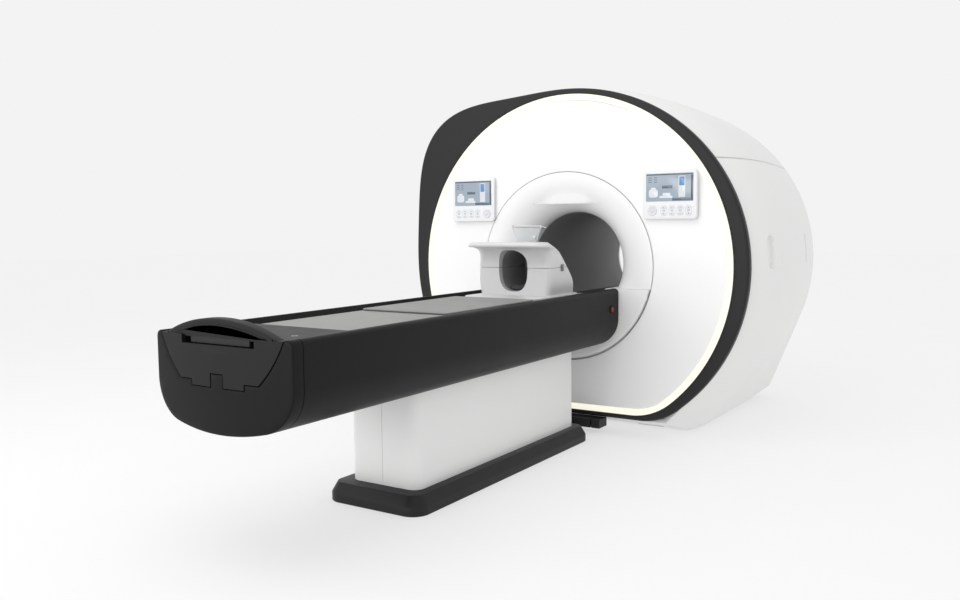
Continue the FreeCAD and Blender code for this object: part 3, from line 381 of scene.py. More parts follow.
def filled(loop: Array, spacing: float) -> tuple[Array, Array]:
    """Cover the inside of an outline with triangles, with inner points on an even square lattice.

    Args:
        loop: the outline (count, 2).
        spacing: distance between inner points.

    Returns:
        Points (count, 2) and triangles (count, 3).
    """
    low = loop.min(0) + spacing / 2
    high = loop.max(0)
    across = np.arange(low[0], high[0], spacing)
    up = np.arange(low[1], high[1], spacing)
    lattice = np.stack(np.meshgrid(across, up), -1).reshape(-1, 2)
    ahead = np.roll(loop, -1, axis=0)
    y = lattice[:, 1][:, None]
    crosses = (loop[:, 1] > y) != (ahead[:, 1] > y)
    rise = np.where(ahead[:, 1] == loop[:, 1], 1.0, ahead[:, 1] - loop[:, 1])
    cut = loop[:, 0] + (y - loop[:, 1]) * (ahead[:, 0] - loop[:, 0]) / rise
    inside = (crosses & (lattice[:, 0][:, None] < cut)).sum(1) % 2 == 1
    near = np.linalg.norm(lattice[:, None] - loop[None], axis=2).min(1) < spacing * 0.4
    points = [Vector(point) for point in np.vstack([loop, lattice[inside & ~near]]).tolist()]
    found = delaunay_2d_cdt(points, [], [list(range(len(loop)))], 1, 1e-7)
    return np.array([tuple(point) for point in found[0]]), np.array(found[2])


def linked(name: str, data: bpy.types.ID) -> Piece:
    """A new object in the scene."""
    made = bpy.data.objects.new(name, data)
    bpy.context.scene.collection.objects.link(made)
    return made


def make_piece(
    name: str,
    surface: Surface,
    body: Body,
    finish: "Finish",
    stands_for: Sequence[str] = (),
    sharp: float = 35.0,
    shell: bool = True,
) -> Piece:
    """Turn a surface into a finished piece.

    Args:
        name: the piece's name.
        surface: its mesh about the centre of the light ring.
        body: the moving part it rides on.
        finish: what it is made of.
        stands_for: frame nodes that it replaces.
        sharp: the angle in degrees past which an edge is not shaded smooth.
        shell: True for closed solids, whose faces are then all turned outwards.

    Returns:
        The new object.
    """
    faces = surface.quads.tolist() + [cap.tolist() for cap in surface.caps]
    mesh = bpy.data.meshes.new(name)
    mesh.from_pydata((surface.points + ORIGIN).tolist(), [], faces)
    work = bmesh.new()
    work.from_mesh(mesh)
    bmesh.ops.remove_doubles(work, verts=work.verts, dist=1e-6)
    if shell:
        bmesh.ops.recalc_face_normals(work, faces=work.faces)
    work.to_mesh(mesh)
    work.free()
    mesh.validate()
    mesh.shade_smooth()
    mesh.set_sharp_from_angle(angle=math.radians(sharp))
    mesh.materials.append(finish.material())
    piece = linked(name, mesh)
    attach(piece, body.value)
    if stands_for:
        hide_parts(*stands_for)
    LOG.info("%s: %d faces", name, len(mesh.polygons))
    return piece


def give_wall(piece: Piece, thickness: float) -> None:
    """Give an open sheet its wall, on the inner side."""
    wall = piece.modifiers.new("wall", "SOLIDIFY")
    wall.thickness = thickness
    wall.offset = -1.0
    wall.use_even_offset = False


def soften(piece: Piece, width: float, segments: int) -> bpy.types.Modifier:
    """Round a piece's edges that turn by more than 50 degrees."""
    edge = piece.modifiers.new("edge", "BEVEL")
    edge.width, edge.segments = width, segments
    edge.limit_method = "ANGLE"
    edge.angle_limit = math.radians(50)
    return edge


def cut_away(piece: Piece, cutters: Sequence[Surface]) -> None:
    """Cut solids out of a piece, and keep the result as its mesh."""
    for cutter in cutters:
        mesh = bpy.data.meshes.new("cutter")
        faces = cutter.quads.tolist() + [cap.tolist() for cap in cutter.caps]
        mesh.from_pydata((cutter.points + ORIGIN).tolist(), [], faces)
        work = bmesh.new()
        work.from_mesh(mesh)
        bmesh.ops.recalc_face_normals(work, faces=work.faces)
        work.to_mesh(mesh)
        work.free()
        tool = linked("cutter", mesh)
        cut = piece.modifiers.new("cut", "BOOLEAN")
        cut.object = tool
        cut.operation = "DIFFERENCE"
        cut.solver = "EXACT"
        bpy.context.view_layer.update()
        seen = piece.evaluated_get(bpy.context.evaluated_depsgraph_get())
        result = bpy.data.meshes.new_from_object(seen)
        piece.modifiers.clear()
        piece.data = result
        bpy.data.objects.remove(tool)
    piece.data.name = piece.name
    piece.data.shade_smooth()
    piece.data.set_sharp_from_angle(angle=math.radians(32.0))


# ---- finishes


def linear(colour: str) -> tuple[float, float, float, float]:
    """An sRGB hex colour as linear red, green, blue and alpha, by the sRGB curve."""
    value = np.array([int(colour[i:i + 2], 16) for i in (1, 3, 5)]) / 255
    curve = np.where(value <= 0.04045, value / 12.92, ((value + 0.055) / 1.055) ** 2.4)
    return (*curve.tolist(), 1.0)


def add_node(tree: Tree, kind: str, inputs: dict | None = None, **settings: object) -> bpy.types.Node:
    """Add a node with its settings and links.

    Args:
        tree: the material's nodes.
        kind: the node's type.
        inputs: socket name or number, and the socket linked to it or the value set on it.
        settings: the node's own properties.

    Returns:
        The new node.
    """
    node = tree.nodes.new(kind)
    for key, value in settings.items():
        setattr(node, key, value)
    for key, value in (inputs or {}).items():
        if isinstance(value, Socket):
            tree.links.new(value, node.inputs[key])
        else:
            node.inputs[key].default_value = value
    return node


@dataclass(frozen=True)
class Finish:
    """A surface finish: a body colour, a second shade that it drifts to, and its gloss."""

    name: str
    colour: str
    shade: str
    roughness: float
    drift_mm: float = 400.0
    edge_mm: float = 0.0

    def material(self) -> bpy.types.Material:
        """The Blender material, made once."""
        found = bpy.data.materials.get(self.name)
        if found:
            return found
        made = bpy.data.materials.new(self.name)
        made.use_nodes = True
        made.node_tree.nodes.clear()
        tree = made.node_tree
        shader = add_node(tree, "ShaderNodeBsdfPrincipled", self.sockets(tree))
        add_node(tree, "ShaderNodeOutputMaterial", {"Surface": shader.outputs["BSDF"]})
        return made

    def place(self, tree: Tree) -> Socket:
        """Where a point is on the object, in metres."""
        return add_node(tree, "ShaderNodeTexCoord").outputs["Object"]

    def noise(self, tree: Tree, size_mm: float, detail: float = 2.0) -> Socket:
        """Noise from 0 to 1 whose spots are about a size in millimetres."""
        inputs = {"Vector": self.place(tree), "Scale": 1000.0 / size_mm, "Detail": detail}
        return add_node(tree, "ShaderNodeTexNoise", inputs).outputs["Fac"]

    def drifting_colour(self, tree: Tree) -> Socket:
        """The body colour, drifting slowly to the second shade and back."""
        inputs = {"Factor": self.noise(tree, self.drift_mm), 6: linear(self.colour), 7: linear(self.shade)}
        return add_node(tree, "ShaderNodeMix", inputs, data_type="RGBA").outputs[2]

    def varied(self, tree: Tree, size_mm: float, below: float, above: float) -> Socket:
        """The roughness, wandering between two limits, so that gloss differs from place to place."""
        low, high = self.roughness - below, self.roughness + above
        inputs = {"Value": self.noise(tree, size_mm, 4.0), "To Min": low, "To Max": high}
        return add_node(tree, "ShaderNodeMapRange", inputs).outputs["Result"]

    def bumped(self, tree: Tree, height: Socket, depth_mm: float) -> Socket:
        """A normal from a height of 0 to 1 that stands for a depth in millimetres, on softened edges if asked."""
        inputs = {"Height": height, "Strength": 1.0, "Distance": depth_mm * MM}
        if self.edge_mm:
            soft = add_node(tree, "ShaderNodeBevel", {"Radius": self.edge_mm * MM}, samples=4)
            inputs["Normal"] = soft.outputs["Normal"]
        return add_node(tree, "ShaderNodeBump", inputs).outputs["Normal"]

    def sockets(self, tree: Tree) -> dict:
        """What goes into the shader's sockets."""
        raise NotImplementedError


@dataclass(frozen=True)
class PaintedPolyurethane(Finish):
    """Reaction-moulded polyurethane cover, sprayed: soft highlights, faint orange peel a few mm across."""

    peel_mm: float = 9.0
    peel_depth_mm: float = 0.02
    coat: float = 0.25
    specular: float = 0.5

    def sockets(self, tree: Tree) -> dict:
        """Satin paint over a smooth moulding."""
        peel = self.bumped(tree, self.noise(tree, self.peel_mm, 1.0), self.peel_depth_mm)
        return {
            "Base Color": self.drifting_colour(tree),
            "Roughness": self.varied(tree, 120.0, 0.04, 0.05),
            "Normal": peel,
            "IOR": 1.5,
            "Specular IOR Level": self.specular,
            "Coat Weight": self.coat,
            "Coat Roughness": 0.22,
        }


@dataclass(frozen=True)
class MouldedPlastic(Finish):
    """Injection-moulded ABS with a spark-eroded grain: an even, slightly broken sheen."""

    grain_mm: float = 2.5
    grain_depth_mm: float = 0.06
    specular: float = 0.5

    def sockets(self, tree: Tree) -> dict:
        """Fine grain, drawn at a few millimetres so that it can be seen, with handled patches a little glossier."""
        grain = self.bumped(tree, self.noise(tree, self.grain_mm, 3.0), self.grain_depth_mm)
        return {
            "Base Color": self.drifting_colour(tree),
            "Roughness": self.varied(tree, 70.0, 0.06, 0.06),
            "Normal": grain,
            "IOR": 1.53,
            "Specular IOR Level": self.specular,
        }


@dataclass(frozen=True)
class CoatedFabric(Finish):
    """Polyurethane-coated knit over foam: matt, with a fine pebbled face and a weak sheen."""

    pebble_mm: float = 3.0

    def sockets(self, tree: Tree) -> dict:
        """Pebbles from the nearest-point distance of scattered cells, drawn twice as large as real ones."""
        inputs = {"Vector": self.place(tree), "Scale": 1000.0 / self.pebble_mm}
        cells = add_node(tree, "ShaderNodeTexVoronoi", inputs).outputs["Distance"]
        return {
            "Base Color": self.drifting_colour(tree),
            "Roughness": self.varied(tree, 90.0, 0.06, 0.06),
            "Normal": self.bumped(tree, cells, 0.12),
            "Sheen Weight": 0.15,
            "Sheen Roughness": 0.5,
        }


@dataclass(frozen=True)
class WorkedMetal(Finish):
    """Turned, drawn or wound metal: fine lines along one axis that smear its highlights."""

    lines_along: tuple[float, float, float] = (1.0, 0.04, 1.0)
    line_mm: float = 3.0

    def sockets(self, tree: Tree) -> dict:
        """Noise stretched along the working direction gives the lines."""
        inputs = {"Vector": self.place(tree), "Scale": self.lines_along}
        stretched = add_node(tree, "ShaderNodeMapping", inputs).outputs["Vector"]
        inputs = {"Vector": stretched, "Scale": 1000.0 / self.line_mm, "Detail": 3.0}
        lines = add_node(tree, "ShaderNodeTexNoise", inputs).outputs["Fac"]
        return {
            "Base Color": self.drifting_colour(tree),
            "Metallic": 1.0,
            "Roughness": self.varied(tree, 60.0, 0.06, 0.06),
            "Normal": self.bumped(tree, lines, 0.05),
        }


@dataclass(frozen=True)
class Rubber(Finish):
    """Moulded rubber: dark, dull and slightly dusty."""

    def sockets(self, tree: Tree) -> dict:
        """Rough surface with a weak specular and fine dust marks."""
        return {
            "Base Color": self.drifting_colour(tree),
            "Roughness": self.varied(tree, 25.0, 0.1, 0.05),
            "Normal": self.bumped(tree, self.noise(tree, 2.0, 4.0), 0.08),
            "IOR": 1.52,
            "Specular IOR Level": 0.35,
        }


@dataclass(frozen=True)
class CastResin(Finish):
    """Conductors potted in epoxy: a faintly mottled yellow-grey casting with some depth."""

    def sockets(self, tree: Tree) -> dict:
        """Mottled resin under a thin gloss skin."""
        return {
            "Base Color": self.drifting_colour(tree),
            "Roughness": self.varied(tree, 40.0, 0.08, 0.08),
            "Normal": self.bumped(tree, self.noise(tree, 12.0, 2.0), 0.1),
            "IOR": 1.55,
            "Coat Weight": 0.3,
        }


@dataclass(frozen=True)
class LitDiffuser(Finish):
    """Opal acrylic lit from behind: an even glow, brighter than the covers round it."""

    strength: float = 1.0
    unlit: str = "#7f7d74"

    def sockets(self, tree: Tree) -> dict:
        """Glow from the plastic itself, with a little unevenness between the lamps behind it."""
        glow = add_node(tree, "ShaderNodeMapRange", {
            "Value": self.noise(tree, 180.0),
            "To Min": self.strength * 0.96,
            "To Max": self.strength * 1.04,
        }).outputs["Result"]
        return {
            "Base Color": linear(self.unlit),
            "Roughness": self.roughness,
            "Emission Color": self.drifting_colour(tree),
            "Emission Strength": glow,
        }


@dataclass(frozen=True)
class DisplayPanel(Finish):
    """Liquid crystal panel under glass: flat glowing fields with the panel's own fine rows."""

    strength: float = 0.8

    def sockets(self, tree: Tree) -> dict:
        """A field that glows, broken by fine rows drawn 1 mm apart, under a glossy face."""
        rows = add_node(tree, "ShaderNodeTexWave", {
            "Vector": self.place(tree),
            "Scale": 1000.0 / 20.0,
        }, bands_direction="Z").outputs["Fac"]
        glow = add_node(tree, "ShaderNodeMapRange", {
            "Value": rows,
            "To Min": self.strength * 0.94,
            "To Max": self.strength,
        }).outputs["Result"]
        return {
            "Base Color": (0.01, 0.01, 0.012, 1.0),
            "Roughness": self.roughness,
            "Emission Color": linear(self.colour),
            "Emission Strength": glow,
            "IOR": 1.5,
        }


@dataclass(frozen=True)
class FrostedAcrylic(Finish):
    """Bead-blasted acrylic sheet: lets light through and blurs what is behind it."""

    def sockets(self, tree: Tree) -> dict:
        """Rough transmission, with a pale body so that it still reads as a solid plate."""
        return {
            "Base Color": self.drifting_colour(tree),
            "Roughness": self.varied(tree, 15.0, 0.05, 0.05),
            "Normal": self.bumped(tree, self.noise(tree, 1.5), 0.02),
            "IOR": 1.49,
            "Transmission Weight": 0.7,
        }


@dataclass(frozen=True)
class SilveredAcrylic(Finish):
    """Acrylic mirror: a clean reflection with the slightest waviness."""

    def sockets(self, tree: Tree) -> dict:
        """A metal face with waves some 60 mm long."""
        return {
            "Base Color": self.drifting_colour(tree),
            "Metallic": 1.0,
            "Roughness": self.roughness,
            "Normal": self.bumped(tree, self.noise(tree, 60.0, 0.0), 0.03),
        }


# the covers and the front are one white paint in two shades: the front cover and funnel get the lighter one, painted
# light on the face of the gantry that meets the light
COVER_WHITE = PaintedPolyurethane("cover_white_paint", "#e9e9e8", "#e5e5e4", 0.40, coat=0.1)
FRONT_WHITE_PAINTED_LIGHT = PaintedPolyurethane("front_white_paint", "#f2f2f2", "#efefef", 0.38)
FRAME_WHITE = PaintedPolyurethane("white_paint_on_frame_parts", "#efefef", "#ebebea", 0.38, edge_mm=3.0)
BEZEL_CHARCOAL = PaintedPolyurethane("bezel_charcoal_paint", "#292929", "#262626", 0.45, peel_depth_mm=0.015,
                                     coat=0.0, specular=0.22)
BORE_GREY = PaintedPolyurethane("bore_grey_paint", "#8d8d8e", "#868687", 0.5, coat=0.0, specular=0.3)
BRIDGE_GREY = MouldedPlastic("bridge_laminate", "#4c4c4e", "#464648", 0.5, edge_mm=2.0)
TABLE_CHARCOAL = PaintedPolyurethane("table_charcoal_paint", "#161616", "#131313", 0.42, peel_depth_mm=0.015,
                                     coat=0.0, specular=0.13)
DECK_BLACK = MouldedPlastic("deck_black_plastic", "#1b1b1c", "#171718", 0.48, specular=0.18)
FRAME_BLACK = MouldedPlastic("black_plastic_on_frame_parts", "#2c2c2d", "#262627", 0.48, edge_mm=2.0, specular=0.22)
PLINTH_BLACK = PaintedPolyurethane("plinth_black_paint", "#222223", "#1e1e1f", 0.42, coat=0.0, specular=0.22)
PANEL_WHITE = MouldedPlastic("panel_white_plastic", "#e9e9ea", "#e3e4e6", 0.38)
KEY_WHITE = MouldedPlastic("keypad_silicone", "#dcdde0", "#d5d7da", 0.5)
KEY_LINE = MouldedPlastic("keypad_print_grey", "#a9abb0", "#a2a5aa", 0.5)
KEY_MARK = MouldedPlastic("keypad_mark_dark", "#55585e", "#4f5258", 0.5)
CRADLE_GREY = MouldedPlastic("cradle_grey_plastic", "#8f8f8c", "#888886", 0.5)
MAT_GREY = CoatedFabric("mat_coated_fabric", "#7e7e7d", "#797978", 0.62)
CUSHION_GREY = CoatedFabric("cushion_coated_fabric", "#3a3a3d", "#333336", 0.66)
COIL_WHITE = MouldedPlastic("coil_white_plastic", "#d3d3d3", "#cecece", 0.34, grain_depth_mm=0.03)
# the coil lining's grey is painted shade for the inside of the head room
COIL_LINING_PAINTED_SHADE = MouldedPlastic("coil_lining_painted_shade", "#8e8e90", "#868688", 0.6)
LATCH_DARK = MouldedPlastic("latch_grey_plastic", "#6f7072", "#696a6c", 0.45, edge_mm=1.0)
STOP_RED = MouldedPlastic("stop_button_red", "#80121a", "#740e15", 0.35, grain_depth_mm=0.02, specular=0.3)
STOP_COLLAR = MouldedPlastic("stop_collar_black", "#050505", "#040404", 0.5, specular=0.08)
STEM_CLEAR = FrostedAcrylic("stem_frosted_acrylic", "#f2f4f5", "#eceff0", 0.35, edge_mm=0.8)
MIRROR_FACE = SilveredAcrylic("mirror_silvered_acrylic", "#a4a8aa", "#a0a5a8", 0.05)
RING_LIGHT = LitDiffuser("ring_light_opal", "#fffef0", "#fffdea", 0.4, strength=0.86)
STEEL = WorkedMetal("brushed_steel", "#b4b6b9", "#a9abaf", 0.34, edge_mm=1.0)
FRAME_PAINT = PaintedPolyurethane("powder_coated_frame", "#b3b8bd", "#a9aeb4", 0.5, peel_mm=5.0, coat=0.0,
                                  edge_mm=2.0)
VESSEL_PAINT = PaintedPolyurethane("vessel_grey_paint", "#cdd0d2", "#c5c8cb", 0.45, peel_mm=12.0, coat=0.1)
COPPER = WorkedMetal("wound_copper", "#c98a5e", "#b97a50", 0.38, line_mm=6.0)
RESIN = CastResin("potted_gradient_resin", "#b9b08c", "#aaa17e", 0.4)
BELT_RUBBER = Rubber("belt_rubber", "#1d1d1d", "#262626", 0.8)
ROLLER_RUBBER = Rubber("roller_rubber", "#2b2b2b", "#343434", 0.75)

# frame nodes that keep their own meshes, under their finishes
KEPT_NODES = {
    RING_LIGHT: ("light_ring",),
    FRAME_WHITE: ("rear_cover", "bore_shelf"),
    BRIDGE_GREY: ("bore_bridge",),
    FRAME_PAINT: ("cover_frame", "magnet_feet", "lift_column_outer", "table_frame"),
    VESSEL_PAINT: ("cryostat_vessel",),
    COPPER: ("magnet_windings", "body_coil"),
    RESIN: ("gradient_coil",),
    STEEL: ("cold_head", "lift_column_inner", "guide_rail", "drive_motor", "bearing_brackets", "drive_pulley_foot",
            "drive_pulley_head", "cradle_carriage"),
    FRAME_BLACK: ("dock_bracket", "release_paddle"),
    BELT_RUBBER: ("drive_belt",),
    ROLLER_RUBBER: ("support_roller",),
    LATCH_DARK: ("coil_latch_left", "coil_latch_right"),
    STEM_CLEAR: ("mirror_stem",),
}


# ---- gantry covers


@dataclass(frozen=True)
class CoverForm:
    """The covers' outer form, as a radius for each bearing about the ring's centre and each depth.

    A section is an ellipse above two straight flanks that touch it and run down to the feet. The left
    shoulder adds a bell-shaped swell to the radius, which fades towards the rear.
    """

    stations: tuple[float, ...] = (0.045, 0.140, 0.320, 0.520, 0.720, 1.200, 1.470, 1.570)
    sizes: tuple[tuple[float, float, float, float], ...] = (
        (1.068, 1.027, 0.612, -0.884),
        (1.114, 1.042, 0.668, -0.922),
        (1.162, 1.058, 0.716, -0.945),
        (1.1745, 1.062, 0.728, -0.941),
        (1.168, 1.062, 0.738, -0.935),
        (1.110, 1.056, 0.760, -0.915),
        (1.072, 1.050, 0.774, -0.898),
        (1.054, 1.042, 0.778, -0.893),
    )
    bezel_size: tuple[float, float, float, float] = (1.085, 1.032, 0.600, -0.877)
    bezel_corner: float = 0.340
    swell: float = 0.200
    swell_bearing: float = 137.5
    swell_half_width: float = 18.0
    swell_end: float = 0.760
    rear_round: float = 0.030
    rear: float = 1.600

    def swell_at(self, bearing: Array, share: Array | float) -> Array:
        """Swell of the shoulder: 2 to the minus square of the bearing's offset over its half width."""
        offset = (np.degrees(bearing) - self.swell_bearing) / self.swell_half_width
        return share * self.swell * 2 ** (-offset * offset)

    def section(self, bearing: Array, size: tuple | Array, share: Array | float,
                inwards: Array | float = 0.0) -> Array:
        """Radius of one section.

        The ellipse gives a b / sqrt((b cos)^2 + (a sin)^2). The flank is the line from the foot to
        where it touches the ellipse, and the underside is level.

        Args:
            bearing: angles from the right-hand side, through the top, in radians.
            size: half width, height, and the foot's half width and level.
            share: how much of the shoulder is there.
            inwards: how far inside the section to be.

        Returns:
            The radius at each bearing.
        """
        a, b, foot_x, foot_z = (np.asarray(value, float) for value in size)
        a, b, foot_x, foot_z = a - inwards, b - inwards, foot_x - inwards, foot_z + inwards
        across = np.abs(np.cos(bearing))
        up = np.sin(bearing)
        ellipse = a * b / np.sqrt((b * across) ** 2 + (a * up) ** 2)
        p, q = foot_x / a, foot_z / b
        touch = np.arctan2(q, p) + np.arccos(1 / np.hypot(p, q))
        touch_x, touch_z = a * np.cos(touch), b * np.sin(touch)
        run_x, run_z = touch_x - foot_x, touch_z - foot_z
        flank = (foot_x * run_z - foot_z * run_x) / (across * run_z - up * run_x)
        floor = foot_z / np.minimum(up, -1e-6)
        radius = np.where(up * touch_x < touch_z * across, flank, ellipse)
        radius = np.where(up * foot_x < foot_z * across, floor, radius)
        return radius + self.swell_at(bearing, share)

    def body(self, bearing: Array, depth: Array, inwards: Array | float = 0.0) -> Array:
        """Radius of the body at a bearing and a depth, with its rear edge rounded."""
        size = spline(self.stations, self.sizes, depth)
        share = 0.5 + 0.5 * np.cos(np.pi * np.clip(depth / self.swell_end, 0, 1))
        late = np.clip((depth - (self.rear - self.rear_round)) / self.rear_round, 0, 1)
        turn = self.rear_round * (1 - np.sqrt(1 - late ** 2))
        return self.section(bearing, tuple(np.moveaxis(size, -1, 0)), share, inwards + turn)

    def bezel(self, bearing: Array) -> Array:
        """Radius of the dark bezel, with its two lower corners rounded.

        The arc touches floor and flank. A ray along u meets it at c.u + sqrt(corner^2 - c.c + (c.u)^2), where
        c is its centre, and that holds between the bearings of its two ends.
        """
        a, b, foot_x, foot_z = self.bezel_size
        touch = math.atan2(foot_z / b, foot_x / a) + math.acos(1 / math.hypot(foot_x / a, foot_z / b))
        foot = np.array([foot_x, foot_z])
        flank = np.array([a * math.cos(touch), b * math.sin(touch)]) - foot
        flank /= np.linalg.norm(flank)
        floor = np.array([-1.0, 0.0])
        half = math.acos(flank @ floor) / 2
        middle = foot + (flank + floor) / np.linalg.norm(flank + floor) * self.bezel_corner / math.sin(half)
        first, last = (math.atan2(*(foot + way * self.bezel_corner / math.tan(half))[::-1]) for way in (floor, flank))
        folded = np.arctan2(np.sin(bearing), np.abs(np.cos(bearing)))
        along = middle[0] * np.cos(folded) + middle[1] * np.sin(folded)
        arc = along + np.sqrt(np.maximum(self.bezel_corner ** 2 - middle @ middle + along ** 2, 0))
        plain = self.section(bearing, self.bezel_size, 1.0)
        return np.where((folded > first) & (folded < last), arc, plain)

    def foot_bearing(self, depth: Array) -> Array:
        """Bearing of the right-hand foot."""
        size = spline(self.stations, self.sizes, depth)
        return np.arctan2(size[..., 3], size[..., 2])


def light_radius(bearing: Array, inwards: float) -> Array:
    """Radius of the light ring's outline: a circle with a flat foot and two round corners.

    The outline is laid out as arcs and a line, and its radius is read off between its points.

    Args:
        bearing: angles in radians.
        inwards: how far inside the outline to be.

    Returns:
        The radius at each bearing.
    """
    radius, corner = 1.0 - inwards, 0.35 - inwards
    level = -0.847 + inwards + corner
    corner_x = math.sqrt((radius - corner) ** 2 - level ** 2)
    join = math.atan2(level, corner_x)
    crown = np.linspace(join, np.pi / 2, 200)
    turn = np.linspace(-np.pi / 2, join, 60)
    foot = np.stack([np.linspace(0, corner_x, 60), np.full(60, level - corner)], -1)
    bend = np.array([corner_x, level]) + corner * compass(turn)
    half = np.vstack([foot, bend[1:], radius * compass(crown)[1:]])
    angle = np.arctan2(half[:, 1], half[:, 0])
    folded = np.arctan2(np.sin(bearing), np.abs(np.cos(bearing)))
    return np.interp(folded, angle, np.linalg.norm(half, axis=1))


@dataclass
class GantryCovers:
    """The bezel and the white covers round the magnet."""

    form: CoverForm = CoverForm()
    top_seam: float = 0.600
    sash_foot: float = -0.800
    seam: float = 0.003
    wall: float = 0.005
    underside: float = 0.662
    underside_from: float = 0.290
    front: float = 0.048
    grip: tuple[float, float, float] = (0.042, 0.051, 0.086)
    grip_depth: float = 0.026
    grip_wall: float = 0.012
    grip_levels: tuple[float, float] = (-0.03, 0.19)
    grip_half: float = 0.08
    half_width: float = 1.14
    grips: tuple[tuple[float, float], tuple[float, float]] = ((0.560, 1.035), (0.236, 1.035))

    def sash_line(self, x: Array) -> Array:
        """Depth of the seam between bezel and covers, in plan: a large arc that sweeps back to the left."""
        arc = arc_through((0.3, 0.045), (-0.5, 0.13875), (-1.3, 0.42), 200)[::-1]
        return np.interp(x, arc[:, 0], arc[:, 1])

    def bearing_at_level(self, level: float, depth: Array, side: Side) -> Array:
        """Bearing at which the body reaches a level.

        It is the angle whose sine is level over radius, found again from the last answer's radius.
        """
        turned = math.asin(level / 1.1)
        found = np.full(np.shape(depth), turned if side is Side.RIGHT else math.pi - turned)
        for _ in range(20):
            angle = np.arcsin(np.clip(level / self.form.body(found, depth), -1, 1))
            found = angle if side is Side.RIGHT else np.pi - angle
        return found

    def patch(self, low: Edge, high: Edge, columns: Array, rows: Array,
              start: Edge, end: Edge) -> tuple[Array, Array]:
        """Bearings and depths of a piece of cover.

        Depth runs from start(x) to end(x) over the rows, and bearing from low(depth) to high(depth)
        over the columns. x is the radius times the bearing's cosine, so each is found from the other
        a few times over.

        Returns:
            Two arrays (rows, columns): bearing and depth.
        """
        j, k = rows[:, None], columns[None, :]
        bearing = low(np.full((1, 1), 0.3)) * (1 - k) + high(np.full((1, 1), 0.3)) * k + 0 * j
        depth = 0.3 + 0 * bearing
        for _ in range(14):
            x = self.form.body(bearing, depth) * np.cos(bearing)
            depth = start(x) * (1 - j) + end(x) * j
            bearing = low(depth) * (1 - k) + high(depth) * k
        return bearing, depth

    def rows(self, count: int) -> Array:
        """Shares of depth, closer together over the rounded rear edge."""
        last = 1 - 0.020 * np.cos(np.linspace(0, np.pi / 2, 8))[1:]
        return np.concatenate([np.linspace(0, 0.98, count), last])

    def skin(self, bearing: Array, depth: Array, lip: bool = True) -> Array:
        """Points of the body, with a flange turned inwards along the front edge."""
        radius = self.form.body(bearing, depth)
        if lip:
            bearing = np.vstack([bearing[:1], bearing[:1], bearing])
            depth = np.vstack([depth[:1], depth[:1], depth[:1] + 0.0015, depth[1:]])
            radius = np.vstack([radius[:1] - 0.030, radius[:1] - 0.0015, radius])
        return about_bore(radius, bearing, depth)

    def dress(self, name: str, surface: Surface, node: str) -> None:
        """Make one cover with its wall."""
        surface = surface.away_from((0.0, 0.8, 0.0))
        cover = make_piece(name, surface, Body.GANTRY, COVER_WHITE, [node], 40.0, shell=False)
        give_wall(cover, self.wall)

    def build_top(self) -> None:
        """The cover over the crown, between the two side seams."""
        level = self.top_seam + self.seam / 2
        bearing, depth = self.patch(
            lambda y: self.bearing_at_level(level, y, Side.RIGHT),
            lambda y: self.bearing_at_level(level, y, Side.LEFT),
            np.linspace(0, 1, 190),
            self.rows(90),
            lambda x: np.maximum(self.front, self.sash_line(x) + self.seam),
            lambda x: 0 * x + self.form.rear,
        )
        self.dress("top_cover_skin", grid(self.skin(bearing, depth)), "top_cover")

    def side_columns(self, low_level: float, count: int) -> Array:
        """Shares of bearing, closer together at the height of the grips."""
        levels = np.array([low_level, self.top_seam, *self.grip_levels])
        low, high, first, last = np.arcsin(levels / self.half_width)
        return graded(count, [((first - low) / (high - low), (last - low) / (high - low))], 3.0)

    def with_grips(self, points: Array, side: Side) -> Array:
        """Press the two grips into a side cover.

        Each is an upright stadium. Its floor lies grip_depth inside the cover, and a smooth step as
        wide as grip_wall leads down to it from the edge.
        """
        reach, straight, level = self.grip
        dent = np.zeros(points.shape[:2])
        for centre in self.grips[0 if side is Side.LEFT else 1]:
            up = np.maximum(np.abs(points[..., 2] - level) - straight, 0)
            edge = reach - np.hypot(points[..., 1] - centre, up)
            dent += smoothstep(edge / self.grip_wall)
        pressed = points.copy()
        pressed[..., 0] -= side.value * self.grip_depth * dent
        return pressed

    def with_underside(self, points: Array, first: bool) -> Array:
        """Carry a side cover in under the body, level with its foot.

        It reaches the middle in front of the magnet's feet, and the open underside behind that.
        """
        foot = points[:, :1] if first else points[:, -1:]
        under = foot.copy()
        reach = np.where(foot[..., 1] < self.underside_from, self.seam / 2, self.underside)
        under[..., 0] = np.sign(foot[..., 0]) * np.minimum(reach, np.abs(foot[..., 0]) - 0.01)
        return np.concatenate([under, points] if first else [points, under], axis=1)

    def build_right(self) -> None:
        """The right side cover, with its two grips."""
        level = self.top_seam - self.seam / 2
        near, run = self.grip_half, self.form.rear - self.front
        windows = [((y - near - self.front) / run, (y + near - self.front) / run) for y in self.grips[1]]
        rows = np.concatenate([graded(150, windows, 3.0)[:-1] * 0.98, self.rows(2)[1:]])
        bearing, depth = self.patch(
            self.form.foot_bearing,
            lambda y: self.bearing_at_level(level, y, Side.RIGHT),
            self.side_columns(-0.93, 150),
            rows,
            lambda x: 0 * x + self.front,
            lambda x: 0 * x + self.form.rear,
        )
        points = self.with_underside(self.with_grips(self.skin(bearing, depth), Side.RIGHT), True)
        self.dress("side_cover_right_skin", grid(points), "side_cover_right")

